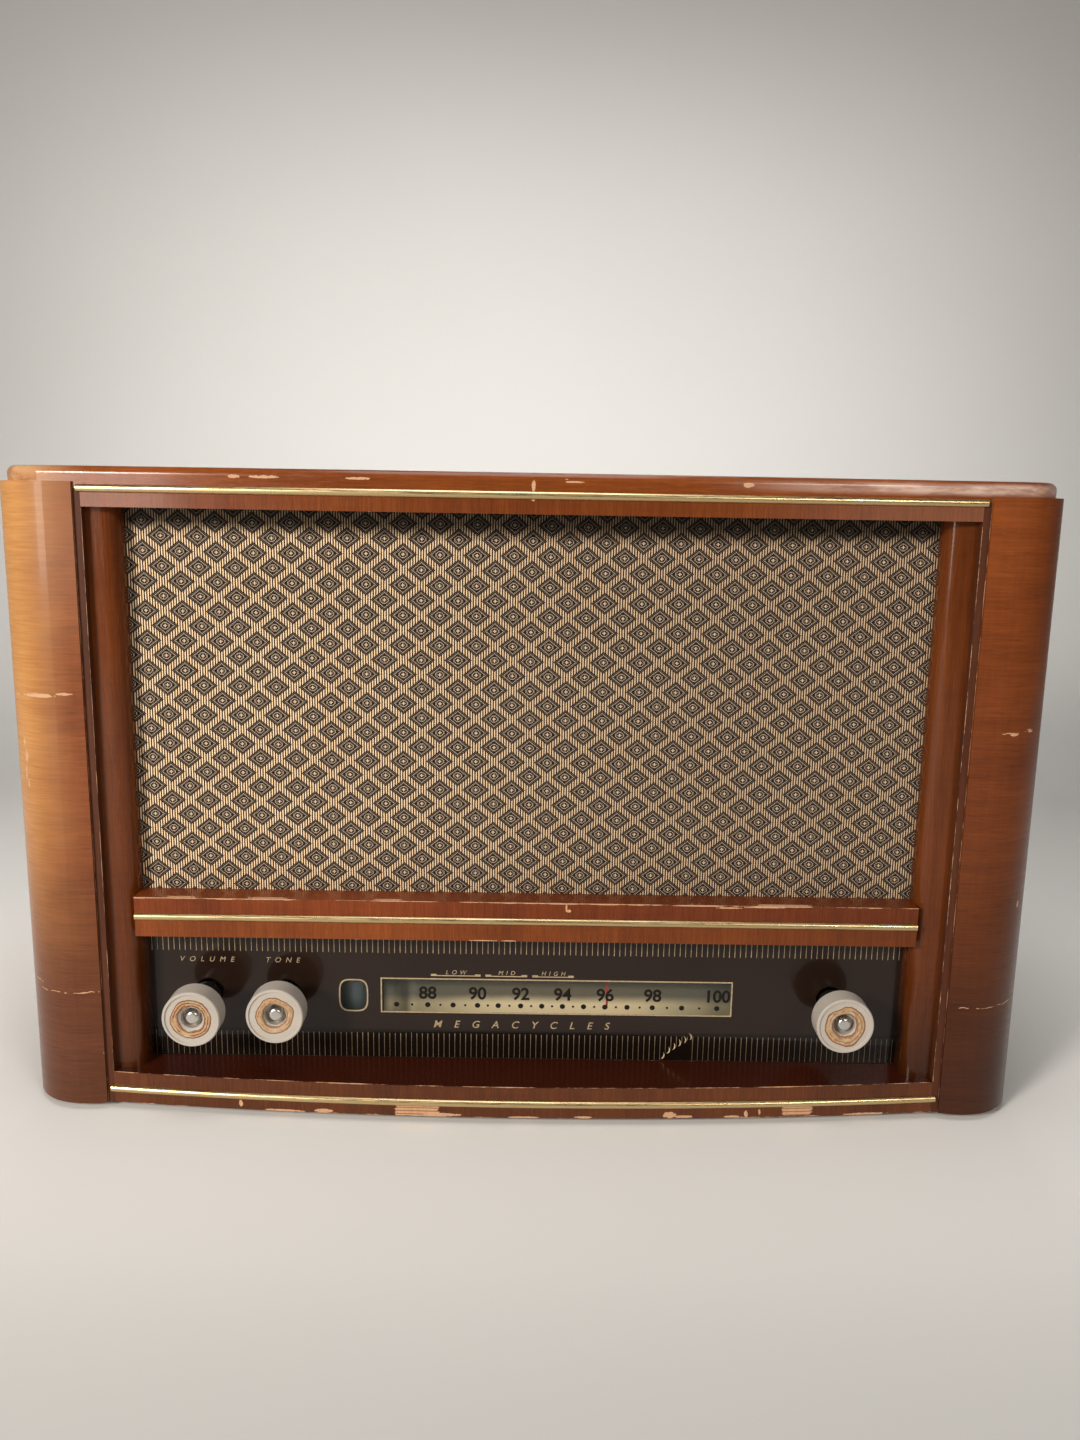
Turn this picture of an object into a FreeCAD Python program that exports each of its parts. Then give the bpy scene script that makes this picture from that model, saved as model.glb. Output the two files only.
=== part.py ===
"""Table radio of the 1950s, VHF only: a bent-plywood cabinet with its loudspeaker, dial, drive and chassis.

Millimetres. The model is laid out in cabinet coordinates: X to the right, Y from the front plane of the
side shells towards the back, Z up from the underside of the cabinet. write_node() then moves every piece to
the row frame, whose origin is on the surface the feet stand on, under the middle of the overall box.
"""
import FreeCAD
import Part
import math
import os

V = FreeCAD.Vector

# ---------------------------------------------------------------- driving dimensions
WIDTH = 445.0                 # over the side shells
DEPTH = 200.0                 # front plane to the back edge
SIDE_HEIGHT = 270.6
CAP_TOP = 276.9               # top of the top board
FOOT_HEIGHT = 3.2
PLY = 9.0                     # thickness of the bent side shells and the boards

HALF = WIDTH / 2
CORNER_R = 26.0               # outer front corner of a side shell, in plan
CORNER_X = HALF - CORNER_R
CORNER_Y = CORNER_R - 1.0
SHELL_EDGE_X = 185.4          # inner arris of a side shell's front flange
LIPPING_X = 182.2             # inner face of the lipping on that edge
LIPPING_Y = 1.3

BOW_FRONT = -8.5              # the bowed rails stand this far forward in the middle
BOW_END = 1.0                 # and meet the lipping here
BOW_R = (LIPPING_X ** 2 + (BOW_END - BOW_FRONT) ** 2) / (2 * (BOW_END - BOW_FRONT))
BOW_Y = BOW_FRONT + BOW_R     # centre of the bow

CLOTH_Y = 14.5                # front of the loudspeaker cloth
CLOTH_T = 0.6
BAFFLE_Y = CLOTH_Y + CLOTH_T
BAFFLE_T = 8.0
GLASS_Y = 17.6                # front of the dial glass
GLASS_T = 3.0

SHELF_Z = 14.5                # top of the plinth rail
MID_Z0, MID_Z1 = 77.7, 95.4   # middle rail
MID_Y = 2.0
SPLIT_Z = 86.0                # baffle above, dial glass below, behind the middle rail
TOP_RAIL_Z = 260.7
TOP_JOINT_Z = 268.0           # joint between top rail and top board, under the brass strip
CAP_HALF = 219.4
CAP_CORNER_R = 22.0
CAP_NOSE_R = 3.2              # rounding of its top front arris

JAMB_X = 169.7                # inner face of a jamb
JAMB_Y = 5.2
JAMB_R = 6.0

STRIP_H = 3.3                 # brass strips: height, how proud, and the tongue in its kerf
STRIP_PROUD = 1.5
STRIP_END_X = 183.4           # the bowed strips end part way across the lippings
TONGUE_T = 0.8
TONGUE_L = 3.0
TOP_STRIP_Z = 268.05
MID_STRIP_Z = 86.8
LOW_STRIP_Z = 6.5

COVER_Y = 195.0               # rear cover
COVER_T = 3.0

CONTROL_Z = 45.5              # the three control axes
VOLUME_X, TONE_X, TUNING_X = -143.3, -108.4, 138.2
VOLUME_FACE_Y, TONE_FACE_Y, TUNING_FACE_Y = -11.5, -7.5, -9.5
KNOB_R = 12.4
KNOB_LENGTH = 10.3            # face to back of the grip
KNOB_DISH = 0.7               # the face lies this far below its rim
KNOB_RECESS_R = 10.9
KNOB_HOLE_R = 4.7             # centre hole and the countersink round it
KNOB_SINK_R = 6.0
KNOB_HOLE_DEPTH = 5.5
HUB_R = 6.0
HUB_BACK_Y = 15.0             # every hub ends just short of the dial glass
SPINDLE_R = 3.175
RUNNING = 0.05                # radial clearance of a spindle in its bush

CHASSIS_X = 185.0
CHASSIS_Y0, CHASSIS_Y1 = 54.0, 185.0
CHASSIS_Z = 62.0              # top of the chassis
SHEET = 1.2                   # chassis sheet thickness

SPEAKER_Z = 178.0
SPEAKER_R = 82.5              # outside of the loudspeaker's frame
SPEAKER_BOLT_R = 77.5
MOUTH_R = 68.0                # its opening in the baffle

CORD_R = 0.4                  # drive cord
CORD_Y = 49.0                 # plane of the cord drive
CORD_STEP = 0.9               # the cord's turn on the spindle moves it this far each side of that plane
RUN_Z = 60.0                  # height of the run that carries the pointer
CORD_GAP = 0.15
SPINDLE_CORD_R = SPINDLE_R + CORD_GAP + CORD_R
PULLEY_GROOVE_R = 5.0
PULLEY_CORD_R = PULLEY_GROOVE_R + CORD_GAP + CORD_R
DRUM_CORD_R = 46.0
DRUM_Z = 98.0
LEFT_PULLEY = (-102.0, RUN_Z + PULLEY_CORD_R)
RIGHT_PULLEY = (100.0, RUN_Z - PULLEY_CORD_R)

POINTER_X = 37.5
POINTER_Y = 26.0
BACKPLATE_Y = 33.0
BACKPLATE_TOP = 66.0
EYE_X = -78.1
EYE_Y = 33.0

FRONT_MOST = VOLUME_FACE_Y
MIDDLE_Y = (FRONT_MOST + DEPTH) / 2


# ---------------------------------------------------------------- helpers
def box(x0, x1, y0, y1, z0, z1):
    return Part.makeBox(x1 - x0, y1 - y0, z1 - z0, V(x0, y0, z0))


def rod_x(y, z, r, x0, x1):
    return Part.makeCylinder(r, x1 - x0, V(x0, y, z), V(1, 0, 0))


def rod_y(x, z, r, y0, y1):
    return Part.makeCylinder(r, y1 - y0, V(x, y0, z), V(0, 1, 0))


def rod_z(x, y, r, z0, z1):
    return Part.makeCylinder(r, z1 - z0, V(x, y, z0), V(0, 0, 1))


def tube_y(x, z, r_out, r_in, y0, y1):
    return rod_y(x, z, r_out, y0, y1).cut(rod_y(x, z, r_in, y0 - 1, y1 + 1))


def face_of(edges):
    return Part.Face(Part.Wire(Part.__sortEdges__(edges)))


def line(a, b):
    return Part.LineSegment(a, b).toShape()


def arc(a, mid, b):
    return Part.Arc(a, mid, b).toShape()


def polygon(points):
    closed = list(points) + [points[0]]
    return Part.Face(Part.makePolygon(closed))


def turned(profile, x, z):
    """A solid of revolution about the Y axis through (x, z), from (radius, y) points."""
    section = polygon([V(x + r, y, z) for r, y in profile])
    return section.revolve(V(x, 0, z), V(0, 1, 0), 360)


def turned_z(profile, x, y):
    """A solid of revolution about the Z axis through (x, y), from (radius, z) points."""
    section = polygon([V(x + r, y, z) for r, z in profile])
    return section.revolve(V(x, y, 0), V(0, 0, 1), 360)


def fused(first, *others):
    return first.multiFuse(list(others)).removeSplitter()


def minus(shape, *tools):
    return shape.cut(Part.makeCompound(list(tools)))


def mirrored(shape):
    return shape.mirror(V(0, 0, 0), V(1, 0, 0))


def spread(make, positions):
    return [make(*p) for p in positions]


def hexagon_y(x, z, across, y0, y1):
    """A hexagonal nut blank along Y."""
    r = across / math.sqrt(3)
    corners = [V(x + r * math.cos(math.radians(60 * k)), y0, z + r * math.sin(math.radians(60 * k)))
               for k in range(6)]
    return polygon(corners).extrude(V(0, y1 - y0, 0))


def hexagon_z(x, y, across, z0, z1):
    """A hexagonal nut blank along Z."""
    r = across / math.sqrt(3)
    corners = [V(x + r * math.cos(math.radians(60 * k)), y + r * math.sin(math.radians(60 * k)), z0)
               for k in range(6)]
    return polygon(corners).extrude(V(0, 0, z1 - z0))


def solids_of(shapes):
    found = []
    for shape in shapes:
        found.extend(shape.Solids)
    return found


def write_node(name, *shapes):
    solids = solids_of(shapes)
    for solid in solids:
        if not solid.isValid() or solid.Volume <= 0:
            print("BAD SOLID in", name, solid.isValid(), solid.Volume)
    group = Part.makeCompound(solids) if len(solids) > 1 else solids[0]
    group = group.copy()
    group.translate(V(0, -MIDDLE_Y, FOOT_HEIGHT))
    group.exportStep(os.path.join("parts", name + ".step"))
    print(f"{name:24s} {len(solids):3d} solids {sum(s.Volume for s in solids) / 1000:9.2f} cm3")


# ---------------------------------------------------------------- cabinet
def bow_y(x):
    """Y of the bowed front at x."""
    return BOW_Y - math.sqrt(BOW_R ** 2 - x ** 2)


def side_shell():
    """Right-hand side: the front flange, the rounded corner and the side in one bent sheet."""
    flange_r = (CORNER_X - SHELL_EDGE_X) ** 2 / 2.0 + 0.5
    nose = V(CORNER_X, -1, 0)
    half_x = (CORNER_X + SHELL_EDGE_X) / 2
    half_y = -1 + flange_r - math.sqrt(flange_r ** 2 - (CORNER_X - half_x) ** 2)
    q = math.sqrt(0.5)
    inner_r = CORNER_R - PLY
    inner = HALF - PLY
    edges = [
        arc(V(SHELL_EDGE_X, 0, 0), V(half_x, half_y, 0), nose),
        arc(nose, V(CORNER_X + q * CORNER_R, CORNER_Y - q * CORNER_R, 0), V(HALF, CORNER_Y, 0)),
        line(V(HALF, CORNER_Y, 0), V(HALF, DEPTH, 0)),
        line(V(HALF, DEPTH, 0), V(inner, DEPTH, 0)),
        line(V(inner, DEPTH, 0), V(inner, CORNER_Y, 0)),
        arc(V(inner, CORNER_Y, 0), V(CORNER_X + q * inner_r, CORNER_Y - q * inner_r, 0),
            V(CORNER_X, CORNER_Y - inner_r, 0)),
        line(V(CORNER_X, CORNER_Y - inner_r, 0), V(SHELL_EDGE_X, PLY, 0)),
        line(V(SHELL_EDGE_X, PLY, 0), V(SHELL_EDGE_X, 0, 0)),
    ]
    shell = face_of(edges).extrude(V(0, 0, SIDE_HEIGHT))
    rebate = box(inner - 1, inner + 4, COVER_Y, DEPTH + 1, 2, SIDE_HEIGHT + 1)
    return shell.cut(rebate)


def lipping():
    return box(LIPPING_X, SHELL_EDGE_X, LIPPING_Y, PLY, 0, SIDE_HEIGHT)


def bowed_slab(half, back, z0, z1):
    """A slab with the bowed front, straight ends at x = half and a flat back."""
    left, right = V(-half, bow_y(half), z0), V(half, bow_y(half), z0)
    edges = [
        arc(left, V(0, BOW_FRONT, z0), right),
        line(right, V(half, back, z0)),
        line(V(half, back, z0), V(-half, back, z0)),
        line(V(-half, back, z0), left),
    ]
    return face_of(edges).extrude(V(0, 0, z1 - z0))


def cap_outline(z):
    """Plan of the top board: bowed front, round front corners, straight sides."""
    r = CAP_CORNER_R
    xs = (CAP_HALF - r) / (1 - r / BOW_R)
    a = math.asin(xs / BOW_R)
    start = V(xs, bow_y(xs), z)
    cx, cy = xs - r * math.sin(a), start.y + r * math.cos(a)
    half_turn = (a + math.pi / 2) / 2
    mid = V(cx + r * math.sin(half_turn), cy - r * math.cos(half_turn), z)
    end = V(CAP_HALF, cy, z)
    back_r, back_l = V(CAP_HALF, DEPTH, z), V(-CAP_HALF, DEPTH, z)

    def flip(p):
        return V(-p.x, p.y, p.z)

    return face_of([
        arc(flip(start), V(0, BOW_FRONT, z), start),
        arc(start, mid, end),
        line(end, back_r),
        line(back_r, back_l),
        line(back_l, flip(end)),
        arc(flip(end), flip(mid), flip(start)),
    ])


def top_board(shells_and_lippings):
    cap = cap_outline(SIDE_HEIGHT).extrude(V(0, 0, CAP_TOP - SIDE_HEIGHT))
    nose_edges = [e for e in cap.Edges
                  if abs(e.BoundBox.ZMin - CAP_TOP) < 1e-6 and e.BoundBox.YMin < DEPTH - 1]
    cap = cap.makeFillet(CAP_NOSE_R, nose_edges)
    inside = bowed_slab(HALF - PLY, DEPTH, TOP_JOINT_Z, SIDE_HEIGHT)
    inside = minus(inside, *shells_and_lippings)
    inside = max(inside.Solids, key=lambda s: s.Volume)
    board = fused(cap, inside)
    reach = HALF - PLY + 4
    rebate = box(-reach, reach, COVER_Y, DEPTH + 1, TOP_JOINT_Z - 1, TOP_JOINT_Z + 4)
    return board.cut(rebate)


def bottom_board(shells):
    board = box(-HALF + PLY, HALF - PLY, PLY, COVER_Y, 0, PLY)
    board = board.cut(box(-LIPPING_X, LIPPING_X, 0, GLASS_Y, -1, PLY + 1))
    holes = [rod_z(x, y, 2.5, -1, PLY + 1) for x, y in CHASSIS_BOLTS]
    return max(minus(board, *shells, *holes).Solids, key=lambda s: s.Volume)


def strip_section(z_mid, y):
    """Half-round bead with a tongue behind it, in the plane X = 0."""
    z0, z1 = z_mid - STRIP_H / 2, z_mid + STRIP_H / 2
    t0, t1 = z_mid - TONGUE_T / 2, z_mid + TONGUE_T / 2
    return face_of([
        arc(V(0, y, z0), V(0, y - STRIP_PROUD, z_mid), V(0, y, z1)),
        line(V(0, y, z1), V(0, y, t1)),
        line(V(0, y, t1), V(0, y + TONGUE_L, t1)),
        line(V(0, y + TONGUE_L, t1), V(0, y + TONGUE_L, t0)),
        line(V(0, y + TONGUE_L, t0), V(0, y, t0)),
        line(V(0, y, t0), V(0, y, z0)),
    ])


def bowed_strip(z_mid):
    reach = math.degrees(math.asin(STRIP_END_X / BOW_R))
    section = strip_section(z_mid, BOW_FRONT)
    section.rotate(V(0, BOW_Y, 0), V(0, 0, 1), -reach)
    bead = section.revolve(V(0, BOW_Y, 0), V(0, 0, 1), 2 * reach)
    # the tongue stops at the lippings, only the bead runs on over them
    for side in (-1, 1):
        x0, x1 = sorted((side * LIPPING_X, side * (SHELL_EDGE_X + 5)))
        bead = bead.cut(box(x0, x1, LIPPING_Y, LIPPING_Y + 9, z_mid - 3, z_mid + 3))
    return max(bead.Solids, key=lambda s: s.Volume)


def straight_strip(z_mid, half, y):
    section = strip_section(z_mid, y)
    section.translate(V(-half, 0, 0))
    return section.extrude(V(2 * half, 0, 0))


def jamb():
    """Right-hand jamb: a post with a rounded inner corner and a flange behind the shell."""
    post = box(JAMB_X, LIPPING_X, JAMB_Y, CLOTH_Y, SHELF_Z, TOP_RAIL_Z)
    corner = [e for e in post.Edges
              if e.BoundBox.XMax < JAMB_X + 1e-6 and e.BoundBox.YMax < JAMB_Y + 1e-6]
    post = post.makeFillet(JAMB_R, corner)
    flange = box(LIPPING_X, 198, PLY, CLOTH_Y, SHELF_Z, TOP_RAIL_Z)
    behind = box(JAMB_X, 198, CLOTH_Y, GLASS_Y, SHELF_Z, SPLIT_Z)
    return fused(post, flange, behind)


def middle_rail():
    front = box(-JAMB_X, JAMB_X, MID_Y, CLOTH_Y, MID_Z0, MID_Z1)
    foot = box(-JAMB_X, JAMB_X, CLOTH_Y, GLASS_Y, MID_Z0, SPLIT_Z)
    return fused(front, foot)


def baffle_board():
    board = box(-205, 205, BAFFLE_Y, BAFFLE_Y + BAFFLE_T, SPLIT_Z, TOP_JOINT_Z - 0.1)
    mouth = rod_y(0, SPEAKER_Z, MOUTH_R, BAFFLE_Y - 1, BAFFLE_Y + BAFFLE_T + 1)
    holes = [rod_y(x, z, 2.2, BAFFLE_Y - 1, BAFFLE_Y + BAFFLE_T + 1) for x, z in SPEAKER_BOLTS]
    sinks = [bolt_countersink(x, z, 4.3) for x, z in SPEAKER_BOLTS]
    return minus(board, mouth, *holes, *sinks)


def slot_y(x, z, length, width, y0, y1):
    """A round-ended slot along X, cut through in Y."""
    half = (length - width) / 2
    r = width / 2
    return fused(box(x - half, x + half, y0, y1, z - r, z + r),
                 rod_y(x - half, z, r, y0, y1), rod_y(x + half, z, r, y0, y1))


def rear_cover():
    cover = box(-HALF + PLY - 3.5, HALF - PLY + 3.5, COVER_Y, COVER_Y + COVER_T, 2.5, TOP_JOINT_Z + 3.5)
    y0, y1 = COVER_Y - 1, COVER_Y + COVER_T + 1
    slots = [slot_y(x, z, 30, 4, y0, y1) for z in VENT_ROWS for x in VENT_COLUMNS]
    window = box(*SOCKET_WINDOW[0], y0, y1, *SOCKET_WINDOW[1])
    lead = rod_y(*LEAD_HOLE, 6.0, y0, y1)
    screws = [rod_y(x, z, 2.0, y0, y1) for x, z in COVER_SCREWS]
    return minus(cover, *slots, window, lead, *screws)


def cover_screw(x, z):
    """Round-headed wood screw with its slot."""
    y = COVER_Y + COVER_T
    head = rod_y(x, z, 3.6, y, y + 2.0)
    top = [e for e in head.Edges if e.BoundBox.YMin > y + 1.9]
    head = head.makeFillet(1.4, top)
    shank = rod_y(x, z, 1.7, y - 12, y)
    return fused(head, shank).cut(box(x - 4, x + 4, y + 1.2, y + 3, z - 0.5, z + 0.5))


def foot(x, y):
    pad = rod_z(x, y, 11, -FOOT_HEIGHT, 0)
    return pad.cut(rod_z(x, y, 4, -FOOT_HEIGHT - 1, -1.2))


CHASSIS_BOLTS = [(x, y) for x in (-150, 150) for y in (64, 175)]
BOLT_OFF = SPEAKER_BOLT_R * math.sqrt(0.5)
SPEAKER_BOLTS = [(x, SPEAKER_Z + z) for x in (-BOLT_OFF, BOLT_OFF) for z in (-BOLT_OFF, BOLT_OFF)]
COVER_SCREWS = [(x, z) for x in (-214.3, 214.3) for z in (40, 150, 255)] + [(-90, 5.0), (90, 5.0)]
VENT_ROWS = [100 + 14 * k for k in range(9)]
VENT_COLUMNS = [-150 + 50 * k for k in range(7)]
SOCKET_WINDOW = ((80, 160), (22, 50))
LEAD_HOLE = (-150, 36)


def write_cabinet():
    right, right_lip = side_shell(), lipping()
    left, left_lip = mirrored(right), mirrored(right_lip)
    top_strip, low_strip = bowed_strip(TOP_STRIP_Z), bowed_strip(LOW_STRIP_Z)
    mid_strip = straight_strip(MID_STRIP_Z, JAMB_X - 0.2, MID_Y)
    screws = spread(cover_screw, COVER_SCREWS)
    write_node("left_side_shell", minus(left, *screws))
    write_node("right_side_shell", minus(right, *screws))
    write_node("left_lipping", left_lip)
    write_node("right_lipping", right_lip)
    write_node("top_board", top_board([left, right, left_lip, right_lip]).cut(top_strip))
    write_node("bottom_board", minus(bottom_board([left, right]), *screws))
    write_node("top_rail", bowed_slab(LIPPING_X, CLOTH_Y, TOP_RAIL_Z, TOP_JOINT_Z).cut(top_strip))
    write_node("plinth_rail", bowed_slab(LIPPING_X, GLASS_Y, 0, SHELF_Z).cut(low_strip))
    write_node("middle_rail", middle_rail().cut(mid_strip))
    write_node("top_brass_strip", top_strip)
    write_node("middle_brass_strip", mid_strip)
    write_node("bottom_brass_strip", low_strip)
    write_node("right_jamb", jamb())
    write_node("left_jamb", mirrored(jamb()))
    write_node("baffle_board", baffle_board())
    write_node("speaker_cloth", box(-178, 178, CLOTH_Y, BAFFLE_Y, SPLIT_Z, TOP_JOINT_Z - 0.1))
    write_node("rear_cover", rear_cover())
    write_node("rear_cover_screws", *screws)
    write_node("feet", *spread(foot, [(x, y) for x in (-190, 190) for y in (24, 178)]))


# ---------------------------------------------------------------- loudspeaker
def speaker_frame():
    ring = [(70, 23.1), (SPEAKER_R, 23.1), (SPEAKER_R, 24.6), (71.5, 24.6), (71.5, 34), (34, 68), (34, 72),
            (18, 72), (18, 70.5), (32, 70.5), (32, 67.5), (70, 33.2)]
    frame = turned(ring, 0, SPEAKER_Z)
    windows = []
    for k in range(6):
        window = box(36, 66, 36, 66, SPEAKER_Z - 13, SPEAKER_Z + 13)
        window.rotate(V(0, 0, SPEAKER_Z), V(0, 1, 0), 60 * k)
        windows.append(window)
    holes = [rod_y(x, z, 2.2, 22, 26) for x, z in SPEAKER_BOLTS]
    return minus(frame, *windows, *holes)


def speaker_magnet():
    pot = [(0, 72), (11.3, 72), (11.3, 92), (14.2, 92), (14.2, 72), (30, 72), (30, 98), (0, 98)]
    return turned(pot, 0, SPEAKER_Z)


def speaker_cone():
    """Paper cone, its rim, dust cap and voice coil former."""
    paper = [(69.3, 27.4), (69.3, 28.0), (64, 28.0), (12.9, 60.0), (12.9, 76), (12.3, 76), (12.3, 60.6),
             (0, 60.6), (0, 60.0), (12.3, 60.0), (63.6, 27.4)]
    return turned(paper, 0, SPEAKER_Z)


def bolt_countersink(x, z, r):
    return Part.makeCone(r, r - 2.2, 2.2, V(x, BAFFLE_Y, z), V(0, 1, 0))


def speaker_bolt(x, z):
    """Countersunk bolt from the cloth side, with its nut behind the frame."""
    y = BAFFLE_Y
    head = bolt_countersink(x, z, 4.0)
    shank = rod_y(x, z, 2.0, y, y + 15)
    nut = hexagon_y(x, z, 7.0, 24.6, 27.6)
    return fused(head, shank, nut)


def write_speaker():
    write_node("speaker_frame", speaker_frame())
    write_node("speaker_magnet", speaker_magnet())
    write_node("speaker_cone", speaker_cone())
    write_node("speaker_bolts", *spread(speaker_bolt, SPEAKER_BOLTS))


# ---------------------------------------------------------------- chassis and its components
SIGNAL_VALVES = [(85, 150), (40, 150), (-5, 150)]
OUTPUT_VALVE = (-50, 150)
RECTIFIER_VALVE = (-95, 165)
VALVE_R = 10.8
HOLDER_TOP = CHASSIS_Z + 7


def chassis():
    """Inverted steel pan with turned-in flanges, valve-holder holes and a bush for the tuning spindle."""
    x, y0, y1 = CHASSIS_X, CHASSIS_Y0, CHASSIS_Y1
    pan = box(-x, x, y0, y1, PLY, CHASSIS_Z)
    pan = pan.cut(box(-x + SHEET, x - SHEET, y0 + SHEET, y1 - SHEET, PLY + SHEET, CHASSIS_Z - SHEET))
    pan = pan.cut(box(-x + SHEET, x - SHEET, y0 + 18, y1 - 18, PLY - 1, PLY + SHEET + 1))
    tools = [rod_z(*p, 2.2, PLY - 1, PLY + 3) for p in CHASSIS_BOLTS]
    tools += [rod_z(*p, 8.2, CHASSIS_Z - 3, CHASSIS_Z + 1)
              for p in SIGNAL_VALVES + [OUTPUT_VALVE, RECTIFIER_VALVE]]
    tools += [rod_y(px, CONTROL_Z, 4.8, y0 - 1, y0 + 3) for px in (VOLUME_X, TONE_X)]
    tools += [box(SOCKET_WINDOW[0][0] + 8, SOCKET_WINDOW[0][1] - 8, y1 - 3, y1 + 1, 28, 44)]
    tools += [rod_y(*LEAD_HOLE, 5.0, y1 - 3, y1 + 1)]
    pan = minus(pan, *tools)
    bush = rod_y(TUNING_X, CONTROL_Z, 5.0, y0 - 1.5, y0 + 9)
    return fused(pan, bush).cut(rod_y(TUNING_X, CONTROL_Z, SPINDLE_R + RUNNING, y0 - 3, y0 + 12))


def chassis_bolt(x, y):
    head = rod_z(x, y, 4.5, -2.2, 0)
    shank = rod_z(x, y, 2.0, 0, PLY + 7)
    nut = hexagon_z(x, y, 8.0, PLY + SHEET, PLY + SHEET + 3.2)
    return fused(head, shank, nut)


def valve_holder(x, y):
    skirt = rod_z(x, y, 11.4, CHASSIS_Z, HOLDER_TOP)
    body = rod_z(x, y, 8.0, CHASSIS_Z - 8, CHASSIS_Z)
    return fused(skirt, body)


def valve(x, y, height, base=HOLDER_TOP):
    """Glass envelope, hollow, with the anode structure standing inside it."""
    r, t, b = VALVE_R, 0.8, base
    top = b + height
    outer = [(0, b), (r, b), (r, top - 9), (r - 3, top - 5), (2.5, top - 4), (1.2, top), (0, top)]
    inner = [(0, b + 3), (r - t, b + 3), (r - t, top - 9.5), (r - 3.6, top - 6), (0, top - 6)]
    bulb = turned_z(outer, x, y).cut(turned_z(inner, x, y))
    anode = rod_z(x, y, 5.5, b + 3, top - 16).cut(rod_z(x, y, 4.6, b + 2, top - 15))
    mica = rod_z(x, y, 9.0, top - 16, top - 15.5)
    return [bulb, fused(anode, mica)]


def laminated_transformer(x, y, z, width, stack, height, coil):
    """Laminated core with its winding standing out front and back."""
    core = box(x - width / 2, x + width / 2, y - stack / 2, y + stack / 2, z, z + height)
    wound = box(x - width / 4, x + width / 4, y - stack / 2 - coil, y + stack / 2 + coil,
                z + height / 6, z + height * 5 / 6)
    edges = [e for e in wound.Edges if e.BoundBox.YLength < 1e-6 and e.BoundBox.ZLength > 1]
    wound = wound.makeFillet(min(4.0, coil * 0.8), edges)
    feet = box(x - width / 2 - 7, x + width / 2 + 7, y - stack / 4, y + stack / 4, z, z + 1.5)
    return fused(core, wound, feet)


def if_can(x, y):
    can = box(x - 12.5, x + 12.5, y - 12.5, y + 12.5, CHASSIS_Z, CHASSIS_Z + 52)
    uprights = [e for e in can.Edges if e.BoundBox.ZLength > 10]
    can = can.makeFillet(3, uprights)
    return can.cut(rod_z(x, y, 2.5, CHASSIS_Z + 48, CHASSIS_Z + 53))


def smoothing_capacitor(x, y):
    can = rod_z(x, y, 17.5, CHASSIS_Z, CHASSIS_Z + 68)
    rim = [e for e in can.Edges if e.BoundBox.ZMin > CHASSIS_Z + 60]
    return can.makeFillet(2.0, rim)


def socket_panel():
    x0, x1 = SOCKET_WINDOW[0]
    panel = box(x0 + 2, x1 - 2, CHASSIS_Y1, CHASSIS_Y1 + 4, 24, 48)
    sockets = [rod_y(x, AERIAL_Z, AERIAL_R, CHASSIS_Y1 - 1, CHASSIS_Y1 + 5) for x in AERIAL_SOCKETS]
    return minus(panel, *sockets)


def mains_grommet():
    """Rubber bush in the rear cover, for the lead."""
    x, z = LEAD_HOLE
    y0, y1 = COVER_Y, COVER_Y + COVER_T
    profile = [(4.0, y0 - 1.8), (8.0, y0 - 1.8), (8.0, y0), (6.0, y0), (6.0, y1), (8.0, y1), (8.0, y1 + 1.8),
               (4.0, y1 + 1.8)]
    return turned(profile, x, z)


AERIAL_SOCKETS = (110, 130)
AERIAL_Z = 36.0
AERIAL_R = 2.05


def write_chassis():
    write_node("chassis", chassis())
    write_node("chassis_bolts", *spread(chassis_bolt, CHASSIS_BOLTS))
    holders = SIGNAL_VALVES + [OUTPUT_VALVE, RECTIFIER_VALVE]
    write_node("valve_holders", *spread(valve_holder, holders))
    signal = []
    for x, y in SIGNAL_VALVES:
        signal += valve(x, y, 56)
    write_node("signal_valves", *signal)
    write_node("output_valve", *valve(*OUTPUT_VALVE, 70))
    write_node("rectifier_valve", *valve(*RECTIFIER_VALVE, 66))
    write_node("mains_transformer", laminated_transformer(-152, 125, CHASSIS_Z, 57, 32, 48, 12))
    write_node("output_transformer", laminated_transformer(-105, 90, CHASSIS_Z, 42, 18, 36, 8))
    write_node("if_transformer_cans", *spread(if_can, [(62, 105), (12, 105)]))
    write_node("smoothing_capacitor", smoothing_capacitor(-52, 100))
    write_node("aerial_socket_panel", socket_panel())
    write_node("mains_grommet", mains_grommet())


# ---------------------------------------------------------------- controls
def knob(x, face_y):
    """Moulded knob with a raised rim, a countersunk centre and a hub behind; its trim disc is missing."""
    bore, dish, back = SPINDLE_R + 0.02, face_y + KNOB_DISH, face_y + KNOB_LENGTH
    hole = face_y + KNOB_HOLE_DEPTH
    profile = [(bore, hole), (KNOB_HOLE_R, hole), (KNOB_HOLE_R, dish + KNOB_SINK_R - KNOB_HOLE_R),
               (KNOB_SINK_R, dish), (KNOB_RECESS_R, dish), (KNOB_RECESS_R + 0.4, face_y),
               (KNOB_R - 0.4, face_y), (KNOB_R, face_y + 0.5), (KNOB_R, back - 0.6), (KNOB_R - 0.6, back),
               (HUB_R, back), (HUB_R, HUB_BACK_Y), (bore, HUB_BACK_Y)]
    return turned(profile, x, CONTROL_Z)


def spindle(x, face_y, back_y):
    """Quarter-inch spindle with a domed end showing in the knob."""
    tip = face_y + 1.6
    rod = rod_y(x, CONTROL_Z, SPINDLE_R, tip, back_y)
    edge = [e for e in rod.Edges if e.BoundBox.YMax < tip + 0.01 and e.BoundBox.XLength > 1]
    return rod.makeFillet(1.6, edge)


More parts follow.
